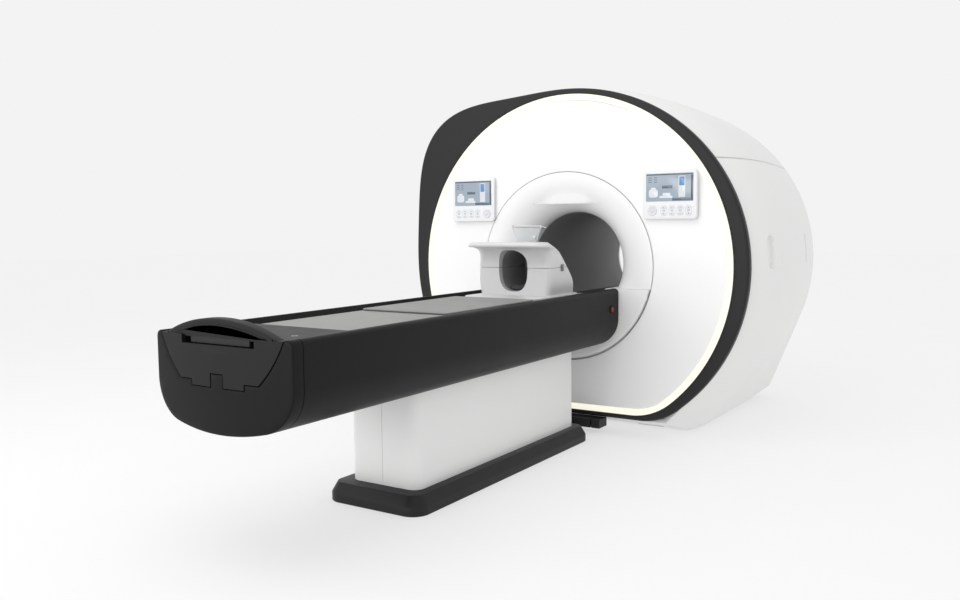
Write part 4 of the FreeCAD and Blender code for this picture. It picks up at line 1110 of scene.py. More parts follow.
    def build_left(self) -> None:
        """The left side cover: behind the sash above its foot, and from the bezel back below it."""
        top = self.top_seam - self.seam / 2
        foot = self.sash_foot - self.seam
        seam_y = lambda x: self.sash_line(x) + self.seam
        rows = self.rows(130)
        parting = lambda y: self.bearing_at_level(foot, y, Side.LEFT)
        bearing, depth = self.patch(
            lambda y: self.bearing_at_level(top, y, Side.LEFT),
            parting,
            1 - self.side_columns(foot, 130)[::-1],
            rows,
            seam_y,
            lambda x: 0 * x + self.form.rear,
        )
        upper = self.with_grips(self.skin(bearing, depth), Side.LEFT)
        edge_y = float(depth[0, -1])
        ahead = np.linspace(0, 1, 24)[:-1]
        share = np.concatenate([(self.front + (edge_y - self.front) * ahead), depth[:, -1]])
        rear = self.form.rear
        lower_bearing, lower_depth = self.patch(
            parting,
            lambda y: np.pi - self.form.foot_bearing(y),
            np.linspace(0, 1, 16),
            (share - self.front) / (rear - self.front),
            lambda x: 0 * x + self.front,
            lambda x: 0 * x + rear,
        )
        lower = self.with_underside(self.skin(lower_bearing, lower_depth), False)
        self.dress("side_cover_left_skin", grid(upper) + grid(lower), "side_cover_left")

    def build_bezel(self) -> None:
        """The dark bezel: a hollow band between the light ring and the covers, with a soft front lip."""
        bearing = full_turn(1200, -np.pi / 2)
        outer = self.form.bezel(bearing)
        inner = light_radius(bearing, -0.001)
        turn = np.linspace(0, np.pi / 2, 9)
        steps = [(inner, 0.044), (inner, 0.0015), (inner + 0.0015, 0.0)]
        lip = outer - 0.016
        steps += [(inner + (lip - inner) * s, 0.0) for s in (0.35, 0.7)]
        steps += [(lip + 0.016 * math.sin(a), 0.016 * (1 - math.cos(a))) for a in turn]
        steps += [(outer, 0.030), (outer, 0.0435), (outer - 0.0015, 0.045), (outer - 0.03, 0.045)]
        radius = np.stack([step[0] for step in steps])
        depth = np.array([step[1] for step in steps])[:, None] + 0 * bearing
        points = about_bore(radius, bearing, depth)
        make_piece("front_bezel_band", wrapped(points), Body.GANTRY, BEZEL_CHARCOAL,
                   ["front_bezel"], 45.0)

    def build_sash(self) -> None:
        """The bezel's dark sash over the left shoulder.

        Its radius is the bezel's at the front and the body's at the seam, blended by a smooth step.
        """
        start = math.acos(0.22 / 1.03)
        bearing, depth = self.patch(
            lambda y: start + 0 * y,
            lambda y: self.bearing_at_level(self.sash_foot, y, Side.LEFT),
            np.linspace(0, 1, 300),
            np.linspace(0, 1, 30),
            lambda x: 0 * x + 0.0453,
            self.sash_line,
        )
        share = smoothstep(np.linspace(0, 1, 30))[:, None]
        radius = self.form.bezel(bearing) * (1 - share) + self.form.body(bearing, depth) * share
        edge = radius[-1:] - 0.012
        bearing = np.vstack([bearing, bearing[-1:]])
        depth = np.vstack([depth, depth[-1:] + 0.0002])
        radius = np.vstack([radius, edge])
        points = about_bore(radius, bearing, depth)
        surface = grid(points).away_from((0.0, 0.8, 0.0))
        sash = make_piece("bezel_sash", surface, Body.GANTRY, BEZEL_CHARCOAL, ["front_bezel"], 45.0,
                          shell=False)
        give_wall(sash, self.wall)

    def build(self) -> None:
        """Build every cover."""
        self.build_top()
        self.build_right()
        self.build_left()
        self.build_bezel()
        self.build_sash()


@dataclass
class BoreMouth:
    """The front cover round the bore, the flared funnel with its hood, the liner and the rear funnel."""

    joint_radius: float = 0.553
    joint_gap: float = 0.0015
    bore_radius: float = 0.305
    bore_z: float = 0.015
    front: float = -0.008
    funnel_depth: float = 0.188
    lip_level: float = 0.370
    hood_half_width: float = 0.222
    hood_fade: float = 0.120
    hood_drop: float = 0.026
    hood_top: float = 0.520
    shelf_level: float = -0.124
    rear_front: float = 1.440

    def build_front_cover(self) -> None:
        """The dished front cover: depth follows a large arc from the joint out to the light ring."""
        bearing = full_turn(720)
        arc = arc_through((0.5545, -0.008), (0.760, -0.003), (0.990, 0.009), 60)
        start = self.joint_radius + self.joint_gap
        end = light_radius(bearing, 0.0365)
        share = np.linspace(0, 1, 40)
        steps = [(start + 0 * end, 0.006), (start + 0 * end, 0.0012)]
        steps += [(start + 0.0012 + (end - 0.0024 - start) * s, 0.0) for s in share]
        steps += [(end, 0.0012), (end, 0.006)]
        radius = np.stack([step[0] for step in steps])
        back = np.array([step[1] for step in steps])[:, None]
        depth = np.interp(radius, arc[:, 0], arc[:, 1]) + back
        points = about_bore(radius, bearing, depth)
        # the front cover's lighter white is painted light
        make_piece("front_cover_dish", wrapped(points), Body.GANTRY, FRONT_WHITE_PAINTED_LIGHT,
                   ["front_cover"], 50.0)

    def horn(self, u: Array, side_share: Array) -> Array:
        """A point of the flare.

        Its circle has radius bore + (front - bore)(1 - sin u) at depth front + depth(1 - cos u), and its
        centre climbs to the bore's. The bearing runs from the shelf on the right to the shelf on the left.
        """
        radius = self.bore_radius + (self.joint_radius - self.joint_gap - self.bore_radius) * (1 - np.sin(u))
        depth = self.front + self.funnel_depth * (1 - np.cos(u))
        centre = self.bore_z * np.sin(u)
        low = np.arcsin((self.shelf_level - centre) / radius)
        bearing = low + (np.pi - 2 * low) * side_share
        return about_bore(radius, bearing, depth, centre)

    def turn_at_lip(self, side_share: Array) -> Array:
        """How far round the flare the hood's lip is: where the flare crosses the lip's level.

        The span is halved again and again towards the crossing. Columns that never reach the level keep
        a fixed place instead.
        """
        low = np.zeros_like(side_share)
        high = np.full_like(side_share, np.pi / 2)
        for _ in range(40):
            middle = (low + high) / 2
            above = self.horn(middle, side_share)[..., 2] > self.lip_level
            low, high = np.where(above, middle, low), np.where(above, high, middle)
        return np.clip((low + high) / 2, 0.42, 1.2)

    def build_funnel(self) -> None:
        """The funnel and its hood as one surface.

        Down each column the flare comes first, then the lip, its underside, and the rest of the flare.
        Above the lip the depth is held by a smooth minimum to a plane that leans back from the flare's
        edge to the lip. The hold fades out towards both ends of the hood, and there the lip has no height.
        """
        share = graded(360, [(0.30, 0.70)], 2.0)
        lip = self.turn_at_lip(share)
        flare = self.horn(np.linspace(0, 1, 36)[:, None] * lip, share)
        hold = 1 - smoothstep((np.abs(flare[-1, :, 0]) - self.hood_half_width + self.hood_fade) / self.hood_fade)
        plane = self.hood_drop * (self.hood_top - flare[..., 2]) / (self.hood_top - self.lip_level)
        soft = 0.006
        gap = np.clip(0.5 + 0.5 * (plane - flare[..., 1]) / soft, 0, 1)
        held = plane * (1 - gap) + flare[..., 1] * gap - soft * gap * (1 - gap)
        flare[..., 1] = flare[..., 1] * (1 - hold) + held * hold
        turn = np.linspace(0, np.pi / 2, 7)[1:, None]
        radius = 0.004 * hold
        bend = np.repeat(flare[-1:], len(turn), axis=0)
        bend[..., 1] += radius * np.sin(turn)
        bend[..., 2] -= radius * (1 - np.cos(turn))
        inner = np.linspace(0, 1, 12)[1:, None, None]
        under = bend[-1] * (1 - inner) + self.horn(lip, share) * inner
        rest = self.horn(lip + (np.pi / 2 - lip) * np.linspace(0, 1, 40)[1:, None], share)
        surface = grid(np.concatenate([flare, bend, under, rest])).away_from((0.0, -1.0, 0.0)).turned()
        # the funnel's lighter white is painted light, as on the front cover
        funnel = make_piece("front_funnel_skin", surface, Body.GANTRY, FRONT_WHITE_PAINTED_LIGHT, ["front_funnel"],
                            38.0, shell=False)
        give_wall(funnel, 0.003)

    def build_liner(self) -> None:
        """The bore's tube, with a fine joint ring at each end."""
        inner, outer = self.bore_radius, self.bore_radius + 0.006
        front, rear = self.front + self.funnel_depth, self.rear_front
        profile = np.array([
            (inner + 0.002, front), (inner, front + 0.002), (inner, front + 0.018), (inner + 0.0015, front + 0.019),
            (inner + 0.0015, front + 0.021), (inner, front + 0.022), (inner, (front + rear) / 2),
            (inner, rear - 0.002), (inner + 0.002, rear), (outer, rear), (outer, front),
        ])
        make_piece("bore_liner_tube", closed_ring(profile, 192, self.bore_z), Body.GANTRY, BORE_GREY,
                   ["bore_liner"], 35.0)

    def build_rear_funnel(self) -> None:
        """The rear flare: a spline of radius over depth, with its wall."""
        depth = np.linspace(1.4405, 1.598, 40)
        radius = spline((1.4405, 1.490, 1.550, 1.598), ((0.311,), (0.322,), (0.368,), (0.476,)), depth)[:, 0]
        inner = np.stack([radius, depth], -1)
        outer = np.stack([radius + 0.005, depth], -1)[::-1]
        make_piece("rear_funnel_skin", closed_ring(np.vstack([inner, outer]), 192, self.bore_z), Body.GANTRY,
                   COVER_WHITE, ["rear_funnel"], 35.0)

    def build(self) -> None:
        """Build the front cover, funnel, liner and rear funnel."""
        self.build_front_cover()
        self.build_funnel()
        self.build_liner()
        self.build_rear_funnel()


# ---- operator panels


@dataclass(frozen=True)
class Mark:
    """One field of a screen's picture: its place from the screen's lower left corner, its size and corner."""

    at: tuple[float, float]
    size: tuple[float, float]
    corner: float
    tone: DisplayPanel
    layer: int = 1


@dataclass
class OperatorPanel:
    """One of the two panels beside the bore. Sizes are in millimetres, and block() and MM turn them to metres."""

    side: Side
    centre: float
    width: float = 308.0
    height: float = 268.0
    bottom: float = 270.0
    face: float = -31.0
    depth: float = 22.0
    screen: tuple[float, float] = (270.0, 151.0)
    screen_margin: float = 19.0
    columns: tuple[float, ...] = (122.0, 169.0, 216.0, 263.0)
    rows: tuple[float, float] = (31.0, 63.0)
    key: tuple[float, float] = (31.0, 17.0)
    pad_offset: float = 55.0
    pad_radius: float = 27.0

    @property
    def word(self) -> str:
        """The side's name, as the nodes have it."""
        return self.side.name.lower()

    def from_bore(self, distance: float) -> float:
        """x of something at a distance from the panel's edge next to the bore."""
        return self.centre - self.side.value * (self.width / 2 - distance)

    def block(self, u: tuple, v: tuple, corner: float, depth: tuple, soft: float, steps: int = 8) -> Surface:
        """An upright rounded block with softened faces, from limits in millimetres."""
        loop = rounded_rectangle(u, v, corner, steps) * MM
        return slab(loop, soft_rings(depth[0] * MM, depth[1] * MM, soft * MM))

    def build_case(self) -> None:
        """The white case: a soft-edged block, a sunk frame round the screen and the boss behind it."""
        half = self.width / 2
        u = (self.centre - half, self.centre + half)
        v = (self.bottom, self.bottom + self.height)
        case = self.block(u, v, 20.0, (self.face, self.face + self.depth), 3.5, 12)
        boss = slab(circle((self.centre * MM, 0.400), 0.030, 48), [(0, -0.010), (0, 0.018)])
        piece = make_piece(f"panel_case_{self.word}", case + boss, Body.GANTRY, PANEL_WHITE,
                           [f"panel_housing_{self.word}"], 40.0)
        low = self.screen_base()
        size = self.screen
        pocket = self.block((self.centre - size[0] / 2 - 0.7, self.centre + size[0] / 2 + 0.7),
                            (low - 0.7, low + size[1] + 0.7), 4.0, (self.face - 2, self.face + 2.5), 0.0)
        pad = slab(circle((self.from_bore(self.pad_offset) * MM, self.key_level() * MM), 0.0276, 72),
                   [(0, (self.face - 2) * MM), (0, (self.face + 7) * MM)])
        cut_away(piece, [pocket, pad])

    def screen_base(self) -> float:
        """Level of the screen's lower edge."""
        return self.bottom + self.height - self.screen_margin - self.screen[1] - 0.5

    def key_level(self) -> float:
        """Level of the middle of the keypad."""
        return self.bottom + sum(self.rows) / 2

    def picture(self) -> list[Mark]:
        """The picture: a patient table drawn in plain shapes on a blue-grey field, with plain marks round it."""
        tones = (("field_blue_grey", "#b3c2cf", 0.80), ("edge_dark", "#6b7683", 0.60),
                 ("shape_white", "#eef3f8", 0.88), ("label_slate", "#6d7f90", 0.70), ("bar_blue", "#6fa3d8", 0.85))
        field, dark, pale, label, blue = (DisplayPanel(f"display_{name}", colour, "#000000", 0.12, strength=strength)
                                          for name, colour, strength in tones)
        width, height = self.screen
        marks = [
            Mark((0, 0), (width, height), 3, field, 0),
            Mark((2, height - 9), (width - 4, 7), 1, dark),
            Mark((width - 14, 3), (11, height - 14), 1, dark),
            Mark((width - 120, 3), (104, 14), 2, label),
            Mark((16, 22), (52, 44), 12, pale),
            Mark((28, 60), (28, 16), 7, pale),
            Mark((78, 18), (74, 12), 4, pale),
            Mark((96, 26), (44, 20), 5, pale, 2),
            Mark((92, 70), (60, 15), 3, label),
            Mark((width - 84, 22), (38, 114), 4, pale),
            Mark((width - 80, 84), (30, 48), 3, blue, 2),
        ]
        lines = [(column, row) for column in range(2) for row in range(3)]
        return marks + [Mark((12 + 34 * c, height - 24 - 12 * r), (22 - 4 * c, 4), 1.5, label) for c, r in lines]

    def build_screen(self) -> None:
        """The glass field and the picture's shapes, a fifth of a millimetre proud of each other."""
        left = self.centre - self.screen[0] / 2
        base = self.screen_base()
        tones: dict[str, tuple[DisplayPanel, list[Surface]]] = {}
        for mark in self.picture():
            u = (left + mark.at[0], left + mark.at[0] + mark.size[0])
            v = (base + mark.at[1], base + mark.at[1] + mark.size[1])
            top = self.face + 0.5 - 0.22 * mark.layer
            back = self.face + (3.5 if mark.layer == 0 else 0.7)
            corner = min(mark.corner, min(mark.size) / 2 - 0.2)
            solid = self.block(u, v, corner, (top, back), 0.05, 6)
            tones.setdefault(mark.tone.name, (mark.tone, []))[1].append(solid)
        for name, (tone, solids) in tones.items():
            make_piece(f"{name}_{self.word}", join(solids), Body.GANTRY, tone,
                       [f"panel_screen_{self.word}"])

    def build_keypad(self) -> None:
        """The sealed keypad: paired keys in thin oval frames, with a small mark between the two of a pair."""
        keys: list[Surface] = []
        frames: list[Surface] = []
        marks: list[Surface] = []
        for column in self.columns:
            x = self.from_bore(column)
            low, high = self.bottom + self.rows[0], self.bottom + self.rows[1]
            for level in (low, high):
                keys.append(self.block((x - 14.5, x + 14.5), (level - 7.5, level + 7.5), 6.5,
                                       (self.face - 1.5, self.face + 1), 0.9))
                marks.append(self.block((x - 2.2, x + 2.2), (level - 2.2, level + 2.2), 2.0,
                                        (self.face - 1.62, self.face), 0.05))
            frames.append(self.oval_frame(x, (low + high) / 2, 18.0, 28.0))
            middle = (low + high) / 2
            for drop in (-2.6, 2.6):
                marks.append(self.block((x - 9, x + 9), (middle + drop - 0.9, middle + drop + 0.9), 0.8,
                                        (self.face - 0.15, self.face + 0.5), 0.05))
        node = [f"panel_keypad_{self.word}"]
        make_piece(f"keypad_keys_{self.word}", join(keys), Body.GANTRY, KEY_WHITE, node)
        make_piece(f"keypad_frames_{self.word}", join(frames), Body.GANTRY, KEY_LINE, node)
        make_piece(f"keypad_marks_{self.word}", join(marks), Body.GANTRY, KEY_MARK, node)

    def oval_frame(self, x: float, z: float, half_width: float, half_height: float) -> Surface:
        """A thin printed oval, as a raised band 0.9 mm wide and 0.2 mm high."""
        u, v = (x - half_width, x + half_width), (z - half_height, z + half_height)
        loop = rounded_rectangle(u, v, half_width - 0.5) * MM
        steps = [(0.0, self.face + 0.3), (0.0, self.face - 0.2), (0.9, self.face - 0.2), (0.9, self.face + 0.3)]
        return band(loop, [(inwards * MM, depth * MM) for inwards, depth in steps], Lie.UPRIGHT)

    def build_pad(self) -> None:
        """The round four-way pad: a dished disc with a square middle and four small arrows' places."""
        x, z = self.from_bore(self.pad_offset) * MM, self.key_level() * MM
        face = self.face * MM
        disc = circle((x, z), self.pad_radius * MM, 96)
        rings = [(0.0, face + 0.002), (0.0, face - 0.0018), (0.0012, face - 0.003), (0.005, face - 0.003),
                 (0.008, face - 0.0022), (0.0165, face - 0.0022), (0.0175, face - 0.003)]
        body = Body.PAD_LEFT if self.side is Side.LEFT else Body.PAD_RIGHT
        square = rounded_rectangle((x - 0.0075, x + 0.0075), (z - 0.0075, z + 0.0075), 0.0022, 6)
        middle = slab(square, soft_rings(face - 0.0042, face - 0.002, 0.0006))
        node = [f"navigation_pad_{self.word}"]
        make_piece(f"four_way_pad_{self.word}", slab(disc, rings) + middle, body, KEY_WHITE, node)
        angle = np.arange(4) * np.pi / 2
        spots = [circle((x + 0.0125 * math.cos(a), z + 0.0125 * math.sin(a)), 0.0016, 16) for a in angle]
        dots = join([slab(spot, soft_rings(face - 0.0024, face - 0.001, 0.0001)) for spot in spots])
        make_piece(f"four_way_marks_{self.word}", dots, body, KEY_MARK, node)

    def build(self) -> None:
        """Build the case, screen, keypad and pad."""
        self.build_case()
        self.build_screen()
        self.build_keypad()
        self.build_pad()


def join(parts: Sequence[Surface]) -> Surface:
    """Several surfaces as one."""
    whole = parts[0]
    for part in parts[1:]:
        whole = whole + part
    return whole


# ---- table


@dataclass
class PatientTable:
    """The lifting table body, its end cap, the cradle's trough and the stop button."""

    half: float = 0.348
    top: float = -0.120
    bottom: float = -0.473
    head: float = -0.014
    cap_join: float = -2.546
    cap_front: float = -2.620
    bulge: float = 0.025
    corner: float = 0.160
    belly: float = 1.000
    crest: float = 0.024
    stop_at: tuple[float, float] = (-0.110, -0.232)

    def bow(self, x: Array) -> Array:
        """How far behind its foremost point the bowed end face is: the rise of a large arc over x."""
        radius = (self.half ** 2 + self.bulge ** 2) / (2 * self.bulge)
        return radius - np.sqrt(radius ** 2 - x ** 2)

    def on_face(self, loop: Array, back: float = 0.0) -> Array:
        """An upright outline laid on the bowed end face, or a little behind it."""
        return Lie.UPRIGHT.place(loop, self.cap_front + self.bow(loop[:, 0]) + back)

    def section(self, rail: bool) -> Array:
        """Half the table's section mirrored: belly, round lower corner, side, crest, then down the trough."""
        corner_x = self.half - self.corner
        belly_z = self.bottom + self.belly
        corner_z = belly_z - math.sqrt((self.belly - self.corner) ** 2 - corner_x ** 2)
        join_angle = math.atan2(corner_z - belly_z, corner_x)
        under = np.linspace(-np.pi / 2, join_angle, 24)
        belly = np.array([0, belly_z]) + self.belly * compass(under)
        round_ = np.linspace(join_angle, 0, 24)[1:]
        lower = np.array([corner_x, corner_z]) + self.corner * compass(round_)
        soft = np.linspace(0, np.pi / 2, 9)
        crest_at = np.array([self.half - self.crest, self.top - self.crest])
        crest = crest_at + self.crest * compass(soft)
        rim = 0.312
        edge = np.array([(rim + 0.003, self.top), (rim + 0.0009, self.top - 0.0009)])
        bowl = arc_through((rim, self.top - 0.003), (0.268, -0.205), (0.200, -0.284), 20)
        floor = [(0.135, -0.284), (0.135, -0.306)]
        if rail:
            floor += [(0.031, -0.306), (0.031, -0.256)]
        half = np.vstack([belly, lower, crest, edge, bowl, floor])
        mirrored = half[::-1] * np.array([-1.0, 1.0])
        return without_repeats(np.vstack([half, mirrored]))

    def build_body(self) -> None:
        """The long body, with the room for the pedestal, the stop button and the drive belt cut out."""
        start, end = self.cap_join + 0.002, self.head
        rings = [(0.0008, start), (0.0, start + 0.0008), (0.0, (start + end) / 2), (0.0, end - 0.0008), (0.0008, end)]
        body = make_piece("table_body", slab(self.section(False), rings), Body.TABLE, TABLE_CHARCOAL,
                          ["table_shell"], 32.0)
        room = slab(rounded_rectangle((-0.193, 0.193), (-1.727, -0.245), 0.055), [(0, -0.520), (0, -0.330)], Lie.PLAN)
        hole = slab(circle(self.stop_at, 0.0238, 72), [(0, 0.326), (0, 0.360)], Lie.SIDEWAYS)
        slot = slab(rounded_rectangle((0.073, 0.097), (-2.460, -0.720), 0.008), [(0, -0.335), (0, -0.295)], Lie.PLAN)
        cut_away(body, [room, hole, slot])

    def build_cap(self) -> None:
        """The end cap: the same section with the rail in it, and a gently bowed face."""
        loop = turned_anticlockwise(self.section(True))
        edge = [(0.005, 0.0), (0.0035, 0.0007), (0.0015, 0.0020), (0.0004, 0.0036), (0.0, 0.0052)]
        rows = [self.on_face(inset(loop, inwards), depth) for inwards, depth in edge]
        rows.append(Lie.UPRIGHT.place(loop, self.cap_join - 0.0012))
        rows.append(Lie.UPRIGHT.place(inset(loop, 0.0012), self.cap_join))
        wall = grid(np.stack(rows), wrap=True)
        wall.caps = [np.arange(len(loop)) + (len(rows) - 1) * len(loop)]
        points, faces = filled(inset(loop, edge[0][0]), 0.020)
        face = Surface(self.on_face(points), NO_QUADS, list(faces))
        make_piece("table_end_cap", wall + face, Body.TABLE, TABLE_CHARCOAL, ["end_cap"], 32.0)

    def build_stop(self) -> None:
        """The emergency stop: a ribbed mushroom button in a dark collar, on the right flank."""
        ring = circle(self.stop_at, 0.0236, 96)
        steps = [(0.0, 0.337), (0.0, 0.3485), (0.0015, 0.3505), (0.004, 0.351), (0.0068, 0.3505), (0.0076, 0.3490),
                 (0.0076, 0.337)]
        make_piece("stop_collar_ring", band(ring, steps, Lie.SIDEWAYS), Body.TABLE, STOP_COLLAR,
                   ["stop_collar"])
        disc = circle(self.stop_at, 0.0152, 96)
        dome = soft_rings(0.344, 0.3568, 0.004, 6) + [(0.0055, 0.35685), (0.010, 0.3570)]
        make_piece("stop_button_cap", slab(disc, dome, Lie.SIDEWAYS), Body.STOP, STOP_RED,
                   ["stop_button"])

    def build(self) -> None:
        """Build the table body, its end cap and the stop button."""
        self.build_body()
        self.build_cap()
        self.build_stop()


@dataclass
class Cradle:
    """The sliding cradle: board, end panel with its deck and handle, and the mat."""

    table: PatientTable
    half: float = 0.246
    top: float = -0.136
    base: float = -0.190
    foot: float = -2.224
    head: float = -0.200
    panel_top: float = -0.124
    panel_back: float = -2.560
    gap: float = 0.002
    mat: tuple[float, float] = (-1.560, -0.793)

    def build_board(self) -> None:
        """The board: a shallow hull in section, with a rounded head end and softened edges."""
        corner = filleted([(-self.half, self.top), (-self.half, -0.152), (-0.130, self.base), (0.130, self.base),
                           (self.half, -0.152), (self.half, self.top)], (0.004, 0.012, 0.12, 0.12, 0.012, 0.004))
        y0, y1 = self.foot, self.head
        rings = [(0.002, y0), (0.0, y0 + 0.002), (0.0, (y0 + y1) / 2), (0.0, y1 - 0.010), (0.001, y1 - 0.005),
                 (0.004, y1 - 0.001), (0.008, y1)]
        make_piece("cradle_board_shell", slab(corner, rings), Body.CRADLE, CRADLE_GREY,
                   ["cradle_board"])

    def trough(self, gap: float, rail: bool) -> Array:
        """The trough's section drawn in by a running gap, from the top right corner under to the top left."""
        rim = 0.312 - gap
        middle, low = (0.268 - gap, -0.205 + gap * 0.4), (0.200 - gap, -0.284 + gap)
        bowl = arc_through((rim, self.table.top - 0.004), middle, low, 20)
        floor = [(0.135 - gap, -0.284 + gap), (0.135 - gap, -0.306 + gap)]
        if rail:
            floor += [(0.031 + gap, -0.306 + gap), (0.031 + gap, -0.256 + gap)]
        half = np.vstack([[(rim, self.panel_top)], bowl[1:], floor])
        return np.vstack([half, half[::-1] * (-1, 1)])

    def build_end_panel(self) -> None:
        """The end panel behind its release pocket, and the black deck between it and the board."""
        outline = self.trough(self.gap, True)
        notch = [(-0.185, self.panel_top), (-0.185, -0.156), (0.185, -0.156), (0.185, self.panel_top)]
        front = turned_anticlockwise(np.vstack([outline, notch]))
        points, faces = filled(front, 0.020)
        face = Surface(self.table.on_face(points), NO_QUADS, list(faces))
        rows = [self.table.on_face(front), Lie.UPRIGHT.place(front, self.panel_back - 0.012)]
        wall = grid(np.stack(rows), wrap=True)
        wall.caps = [np.arange(len(front)) + len(front)]
        back = slab(outline, [(0.0, self.panel_back - 0.0122), (0.0, self.panel_back)])
        panel = make_piece("cradle_end_face", face + wall + back, Body.CRADLE, DECK_BLACK,
                           ["cradle_end_panel"], 30.0)
        soften(panel, 0.0015, 2)
        bowl = arc_through((0.306, self.table.top), (0.262, -0.2026), (0.194, -0.278), 60)
        level = np.linspace(-0.166, -0.130, 8)
        x = np.interp(level, bowl[::-1, 1], bowl[::-1, 0])
        side = np.stack([x, level], -1)
        deck = np.vstack([side, [(x[-1] - 0.0015, -0.129)], [(-x[-1] + 0.0015, -0.129)], side[::-1] * (-1, 1)])
        rings = [(0.0, self.panel_back - 0.001), (0.0, self.foot - 0.0028), (0.002, self.foot - 0.0008)]
        board = make_piece("cradle_deck", slab(deck, rings), Body.CRADLE, DECK_BLACK,
                           ["cradle_end_panel"], 30.0)
        socket = slab(circle((0.205, -2.440), 0.009, 48), [(0, -0.159), (0, -0.120)], Lie.PLAN)
        cut_away(board, [socket])
        rim = circle((0.205, -2.440), 0.0125, 64)
        steps = [(0.0, -0.1295), (0.0, -0.1285), (0.0006, -0.128), (0.0030, -0.128), (0.0035, -0.1285),
                 (0.0035, -0.150)]
        make_piece("socket_bush", band(rim, steps, Lie.PLAN), Body.CRADLE, STEEL, ["cradle_end_panel"])

    def build_handle(self) -> None:
        """The arched handle: two arcs that meet the panel's top, with well rounded edges."""
        outer = arc_through((-0.285, self.panel_top), (0.0, -0.060), (0.285, self.panel_top), 60)
        inner = arc_through((0.215, self.panel_top), (0.0, -0.090), (-0.215, self.panel_top), 50)
        loop = np.vstack([outer, inner])
        rings = soft_rings(self.table.cap_front + 0.0005, self.panel_back - 0.002, 0.010, 6)
        make_piece("arch_handle_grip", slab(loop, rings, Lie.UPRIGHT, self.table.bow), Body.CRADLE, DECK_BLACK,
                   ["arch_handle"], 60.0)

    def build_mat(self) -> None:
        """The thin foam mat.

        Its height is that of a superellipse over each way across, so it is crowned in the middle and
        pulled down to a welded seam all round, with two shallow welded channels across it.
        """
        low, high = self.top + 0.0003, self.top + 0.0111
        loop = turned_anticlockwise(rounded_rectangle((-0.242, 0.242), self.mat, 0.018, 8))
        seam = (low + high) / 2
        turn = np.linspace(-np.pi / 2, np.pi / 2, 13)
        half = (high - low) / 2
        rings = [(0.0055 * (1 - math.cos(a)) ** 0.8, seam + (half - 0.0012) * math.sin(a)) for a in turn]
        edge = np.stack([Lie.PLAN.place(inset(loop, i), d) for i, d in rings])
        top_loop = inset(loop, rings[-1][0])
        points, faces = filled(top_loop, 0.009)
        ends = np.minimum(points[:, 1] - self.mat[0], self.mat[1] - points[:, 1])
        ends = np.minimum(0.242 - np.abs(points[:, 0]), ends)
        crown = 0.0012 * (1 - np.exp(-np.maximum(ends - 0.0055, 0) / 0.012))
        channel = sum(np.exp(-((points[:, 1] - y) / 0.004) ** 2) for y in (-1.270, -0.980))
        height = rings[-1][1] + crown - 0.0022 * channel * smoothstep((ends - 0.004) / 0.02)
        top = Surface(Lie.PLAN.place(points, height), NO_QUADS, list(faces))
        wall = grid(edge, wrap=True)
        wall.caps = [np.arange(len(loop))]
        mat = make_piece("body_mat_pad", wall + top, Body.CRADLE, MAT_GREY, ["body_mat"], 60.0)

    def build(self) -> None:
        """Build the board, end panel, handle and mat."""
        self.build_board()
        self.build_end_panel()
        self.build_handle()
        self.build_mat()


@dataclass
class Pedestal:
    """The plinth and the two covers that the table body slides down over."""

    half: float = 0.188
    foot: float = -1.722
    head: float = -0.250
    corner: float = 0.050
    wall: float = 0.006
    low: float = -0.880
    high: float = -0.452

    def half_outline(self, side: Side, inwards: float) -> Array:
        """The open path round one half of the pedestal in plan, from foot to head."""
        s = side.value
        x, near, far = self.half - inwards, self.foot + inwards, self.head - inwards
        c = self.corner - inwards
        turn = np.linspace(0, np.pi / 2, 10)
        first = np.stack([x - c + c * np.sin(turn), near + c - c * np.cos(turn)], -1)
        last = np.stack([x - c + c * np.cos(turn), far - c + c * np.sin(turn)], -1)
        path = np.vstack([[(0.00075, near)], first, last, [(0.00075, far)]])
        return path * np.array([s, 1.0])

    def build_covers(self) -> None:
        """Two bent sheets that meet at the middle of the foot end and the head end."""
        for side in Side:
            outer = self.half_outline(side, 0.0)
            inner = self.half_outline(side, self.wall)[::-1]
            loop = turned_anticlockwise(np.vstack([outer, inner]))
            levels = np.array([self.low, self.low + 0.001, self.high - 0.001, self.high])
            rows = np.stack([Lie.PLAN.place(loop, level) for level in levels])
            word = side.name.lower()
            make_piece(f"pedestal_skin_{word}", capped(rows), Body.GANTRY, COVER_WHITE,
                       [f"pedestal_cover_{word}"], 30.0)

    def build_plinth(self) -> None:
        """The black plinth: upright rim, a broad chamfer and the well for the lift columns."""
        loop = rounded_rectangle((-0.260, 0.260), (-1.815, -0.195), 0.080, 16)
        rings = [(0.003, -0.965), (0.0, -0.962), (0.0, -0.928), (0.0008, -0.9255), (0.0022, -0.9232),
                 (0.0262, -0.8826), (0.0275, -0.8808), (0.030, -0.880)]
        plinth = make_piece("plinth_casting", slab(loop, rings, Lie.PLAN), Body.GANTRY, PLINTH_BLACK,
                            ["plinth"], 32.0)
        well = slab(rounded_rectangle((-0.165, 0.165), (-1.690, -0.270), 0.010), [(0, -0.955), (0, -0.860)], Lie.PLAN)
        cut_away(plinth, [well])

    def build(self) -> None:
        """Build the covers and the plinth."""
        self.build_covers()
        self.build_plinth()


# ---- head coil


